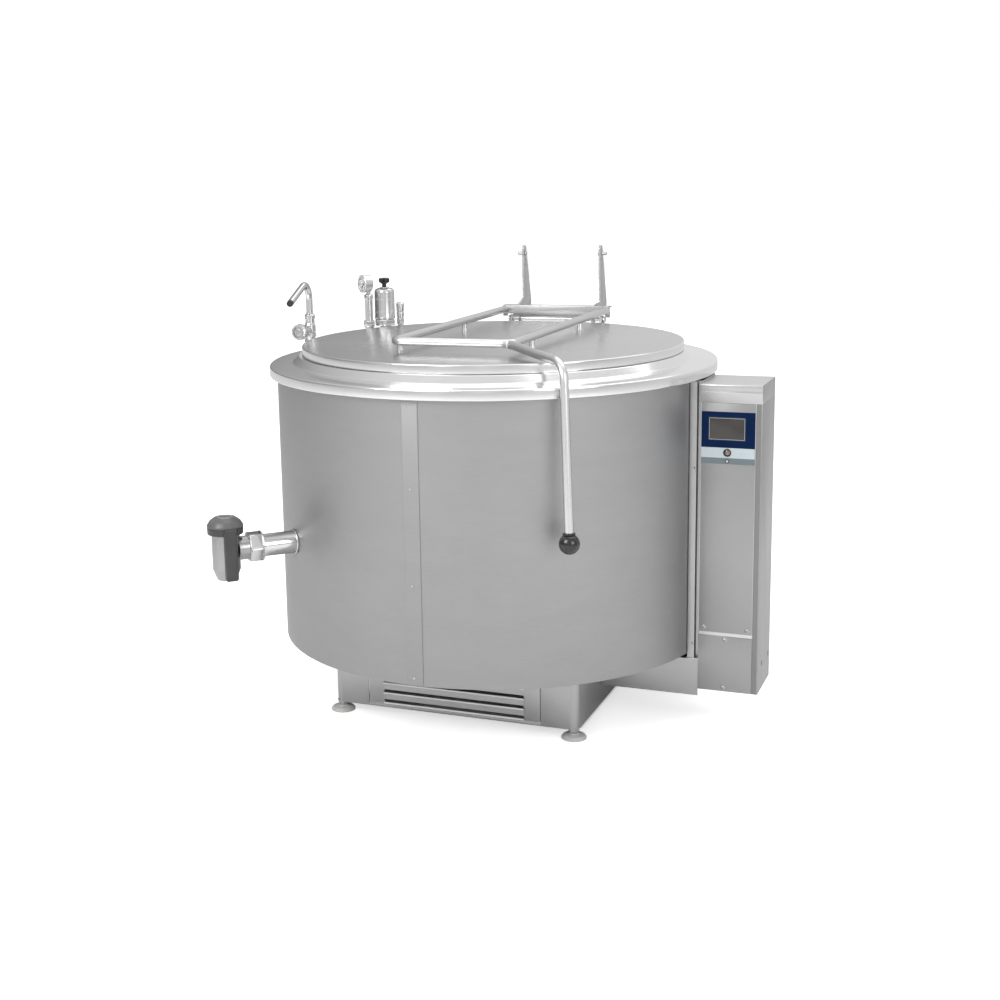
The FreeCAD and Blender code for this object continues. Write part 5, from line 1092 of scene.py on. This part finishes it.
def fascia():
    """Colour fields, the navy one around the window, and the display that fills the window."""
    front = BOX_FRONT
    sheet = Piece("fascia_panel", "fascia_dressed")
    x0, x1 = BOX_LEFT + 2, PANEL_EDGE - 2
    sx0, sx1, sz0, sz1 = SCREEN_AT
    grey, light, navy, crown = 673, 688, 713, 801
    for a0, a1, z0, z1, mat in (
        (x0, sx0, navy, crown, 0), (sx1, x1, navy, crown, 0), (sx0, sx1, navy, sz0, 0),
        (sx0, sx1, sz1, crown, 0), (x0, x1, light, navy, 1), (x0, x1, grey, light, 2),
    ):
        sheet.block((a0, front - 1.0, z0), (a1, front, z1), mat=mat, bevel=0.0)
    sheet.finish([NAVY_FILM, LIGHT_FILM, GREY_FILM], slot="fascia_blue")

    glass = Piece("display_glass", "display_dressed")
    a0, a1, z0, z1 = sx0 + 0.1, sx1 - 0.1, sz0 + 0.1, sz1 - 0.1
    pane = rounded(((a0, z0), (a1, z0), (a1, z1), (a0, z1)), 1.5, True, 3)
    glass.prism(pane, front - 1.4, front, "XZ", bevel=0.3)
    a0, a1, z0, z1, line = sx0 + 2, sx1 - 2, sz0 + 2, sz1 - 2, 0.9
    for a, b, c, d in (
        (a0, z0, a1, z0 + line), (a0, z1 - line, a1, z1), (a0, z0, a0 + line, z1), (a1 - line, z0, a1, z1),
    ):
        glass.block((a, front - 1.5, b), (c, front - 1.3, d), mat=1, bevel=0.0)
    glass.finish([SCREEN, SCREEN_LINE], slot="display_dark")


def button_and_lamp():
    face = at(BUTTON_X, BOX_FRONT, BUTTON_Z) @ TO_FRONT
    bezel = Piece("button_bezel")
    profile = loop(
        (7.05, -26), (8.2, -26), (8.2, 1), (10, 1, 0.2), (10, 1.8, 0.5), (8.8, 2.5, 0.5), (7.4, 2.5, 0.3),
        (7.05, 2.1, 0.1),
    )
    bezel.lathe(profile, 40, face)
    bezel.spin(((0, -26), (8.2, -26), (8.2, -23), (0, -23)), 32, face)
    bezel.finish(BEZEL_METAL, slot="chrome")
    cap = curve((0, -14), (7, -14), (7, 1.4, 0.6), (5.6, 2.7, 2.5), (3, 3.4, 4), (0, 3.5), steps=4)
    Piece("start_button").spin(cap, 40, face).finish(BUTTON_METAL, "button", "button_dark")
    lamp = Piece("status_lamp")
    face = at(BUTTON_X, BOX_FRONT, LAMP_Z) @ TO_FRONT
    lens = curve((0, -10), (4, -10), (4, 1), (5, 1, 0.1), (5, 1.5, 0.3), (3.5, 1.8, 0.3), (0, 1.8), steps=2)
    lamp.spin(lens, 32, face)
    lamp.spin(((0, 1.6), (2.7, 1.6), (2.7, 1.9), (2.4, 2.0), (0, 2.0)), 24, face, mat=1)
    lamp.finish([LAMP_LENS, LAMP_CORE], slot="lamp_lens")


def beam_and_spacer():
    beam = Piece("support_beam")
    front, back, low, top, wall = -118.0, 40.0, 76.0, 173.0, 2.5
    start, end = 330.0, 580.0
    outline = loop(
        (front, low, 0.4), (front + wall, low, 0.4), (front + wall, top - wall, 1.5),
        (back - wall, top - wall, 1.5), (back - wall, low, 0.4), (back, low, 0.4), (back, top, 3),
        (front, top, 3), steps=4,
    )
    beam.prism(outline, start, end, "YZ")
    for x in (start, end - wall):
        beam.block((x, front + wall, 100), (x + wall, back - wall, top - wall), bevel=0.2)
    beam.finish(PLATE_STEEL)

    spacer = Piece("side_spacer")
    reach = 563.3
    front, back, low, top, wall = -116.0, 44.0, 173.0, 872.0, 1.5
    fx = sqrt(reach ** 2 - (front + wall) ** 2) + 1
    bx = sqrt(reach ** 2 - (back - wall) ** 2) + 1
    outline = loop(
        (fx, front, 0.4), (570, front, 1.2), (570, front + 18, 0.4), (580, front + 18, 0.4), (580, back, 1.2),
        (bx, back, 0.4), (bx, back - wall, 0.4), (580 - wall, back - wall, 0.5),
        (580 - wall, front + 18 + wall, 0.4), (570 - wall, front + 18 + wall, 0.4),
        (570 - wall, front + wall, 0.5), (fx, front + wall, 0.4),
    )
    spacer.prism(outline, low, top, "XY")
    spacer.finish(PLATE_STEEL)
    rivets = Piece(name="spacer_rivets")
    for z in (660, 212):
        screw(rivets, at(566.5, front - 0.1, z) @ TO_FRONT, 3.6)
    rivets.finish([PLATE_STEEL, DARK_STEEL])


for build in (
    casing, seam_strips, rim, lid, lid_frame, lid_lever, lid_studs, crossbar, lid_arms, hinge, drain_pipe,
    drain_union, drain_valve, drain_handle, tap, tap_spout, tap_wheel, gauge, relief, vent, vessel, plinth_deck,
    plinth, feet, louvres, box_shell, box_hood, box_front, box_screws, fascia, button_and_lamp, beam_and_spacer,
):
    build()
for node, material in (
    ("drain_valve_plug", FITTING_STEEL), ("gauge_needle", NEEDLE_PAINT), ("lid_gasket", SEAL_RUBBER),
    ("base_pan", DARK_STEEL), ("jacket_shell", DARK_STEEL), ("heater_unit", DARK_STEEL),
    ("box_internals", GREY_PLASTIC), ("cable_gland", BLACK_PLASTIC),
):
    dress(node, material)


# Stage, light and camera


def stage():
    """Pale floor that glows for the camera alone, except under the plinth, so that the louvres stay dark."""
    n = Nodes("floor_white")
    n.set(Base_Color=(0.92, 0.92, 0.92, 1), Roughness=0.9, Specular_IOR_Level=0.1)
    split = n.new("SeparateXYZ")
    n.link(n.coords.outputs["Object"], split.inputs[0])
    outside = n.math(
        "MAXIMUM",
        n.math("SUBTRACT", n.math("ABSOLUTE", split.outputs["X"], 0.0), 0.30),
        n.math("SUBTRACT", n.math("ABSOLUTE", split.outputs["Y"], 0.0), 0.225),
    )
    open_floor = n.spread(outside, 0.0, 0.02, 0.0, 0.62)
    glow = n.new("Emission", Color=(1, 1, 1, 1))
    n.link(n.math("MULTIPLY", n.new("LightPath").outputs["Is Camera Ray"], open_floor), glow.inputs["Strength"])
    total = n.new("AddShader")
    n.link(n.shader.outputs[0], total.inputs[0])
    n.link(glow.outputs[0], total.inputs[1])
    n.link(total.outputs[0], n.out.inputs["Surface"])
    mesh = bpy.data.meshes.new("floor")
    bm = bmesh.new()
    bmesh.ops.create_grid(bm, x_segments=24, y_segments=24, size=14.0)
    bm.to_mesh(mesh)
    bm.free()
    mesh.materials.append(n.material)
    place_in_scene("floor", mesh)


# Brightness of the studio: 0 and 1 are on the left (-X), 0.25 in front, 0.5 on the right, 0.75 at the rear
STUDIO = (
    (0.00, 0.19), (0.08, 0.36), (0.15, 0.80), (0.19, 0.60), (0.22, 1.0), (0.26, 0.76), (0.29, 1.0),
    (0.33, 0.70), (0.37, 1.0), (0.44, 0.56), (0.50, 0.66), (0.60, 0.95), (0.74, 1.0), (0.79, 0.98),
    (0.835, 0.26), (1.00, 0.19),
)


def world():
    """White for the camera; for everything else a studio that is pale overhead and uneven round the sides."""
    studio = bpy.data.worlds.new("studio")
    bpy.context.scene.world = studio
    n = Tree(studio)
    split = n.new("SeparateXYZ")
    n.link(n.coords.outputs["Generated"], split.inputs[0])
    angle = n.math("ARCTAN2", split.outputs["Y"], split.outputs["X"])
    azimuth = n.math("DIVIDE", n.math("ADD", angle, pi), FULL)
    mix = n.new("Mix")
    mix.data_type = "RGBA"
    n.link(n.spread(split.outputs["Z"], 0.0, 0.9, 0.0, 1.0), mix.inputs[0])
    n.link(n.ramp(azimuth, [(place, (tone, tone, tone)) for place, tone in STUDIO]), mix.inputs[6])
    mix.inputs[7].default_value = (1.0, 1.0, 1.0, 1)
    background = n.new("Background", Strength=0.80)
    n.link(mix.outputs[2], background.inputs["Color"])
    white = n.new("Background", Color=(1, 1, 1, 1), Strength=1.0)
    choose = n.new("MixShader")
    n.link(n.new("LightPath").outputs["Is Camera Ray"], choose.inputs[0])
    n.link(background.outputs[0], choose.inputs[1])
    n.link(white.outputs[0], choose.inputs[2])
    n.link(choose.outputs[0], n.new("OutputWorld").inputs["Surface"])


def lamp(name, place, target, size, power):
    data = bpy.data.lights.new(name, "AREA")
    data.energy = power
    data.shape = "RECTANGLE"
    data.size = data.size_y = size
    obj = place_in_scene(name, data)
    obj.location = place
    aim = Vector(target) - Vector(place)
    obj.rotation_euler = aim.to_track_quat("-Z", "Y").to_euler()


def camera():
    """Stands where the outlines of rim, casing, plinth and box agree with the photograph."""
    yaw, pitch, roll = 0.3973, 0.1944, -0.0225
    forward = Vector((-sin(yaw) * cos(pitch), cos(yaw) * cos(pitch), -sin(pitch)))
    level = Vector((cos(yaw), sin(yaw), 0))
    upright = level.cross(forward)
    right = cos(roll) * level + sin(roll) * upright
    up = -sin(roll) * level + cos(roll) * upright
    data = bpy.data.cameras.new("camera")
    data.sensor_width = 36
    data.lens = 1.5345 * data.sensor_width
    data.shift_x = 0.07923
    data.shift_y = -0.03531
    data.clip_end = 60
    obj = place_in_scene("camera", data)
    obj.matrix_world = at(1.3725, -3.7714, 1.4073) @ Matrix((right, up, -forward)).transposed().to_4x4()
    bpy.context.scene.camera = obj


stage()
world()
lamp("key", (-1.6, -3.8, 3.4), (0, 0, 0.6), 2.6, 108)
lamp("fill", (3.8, -2.6, 2.2), (0.2, 0, 0.6), 2.2, 44)
lamp("top", (0.4, 1.2, 4.2), (0, 0, 0.9), 4.4, 57)
camera()

bpy.context.scene.view_settings.view_transform = "Standard"
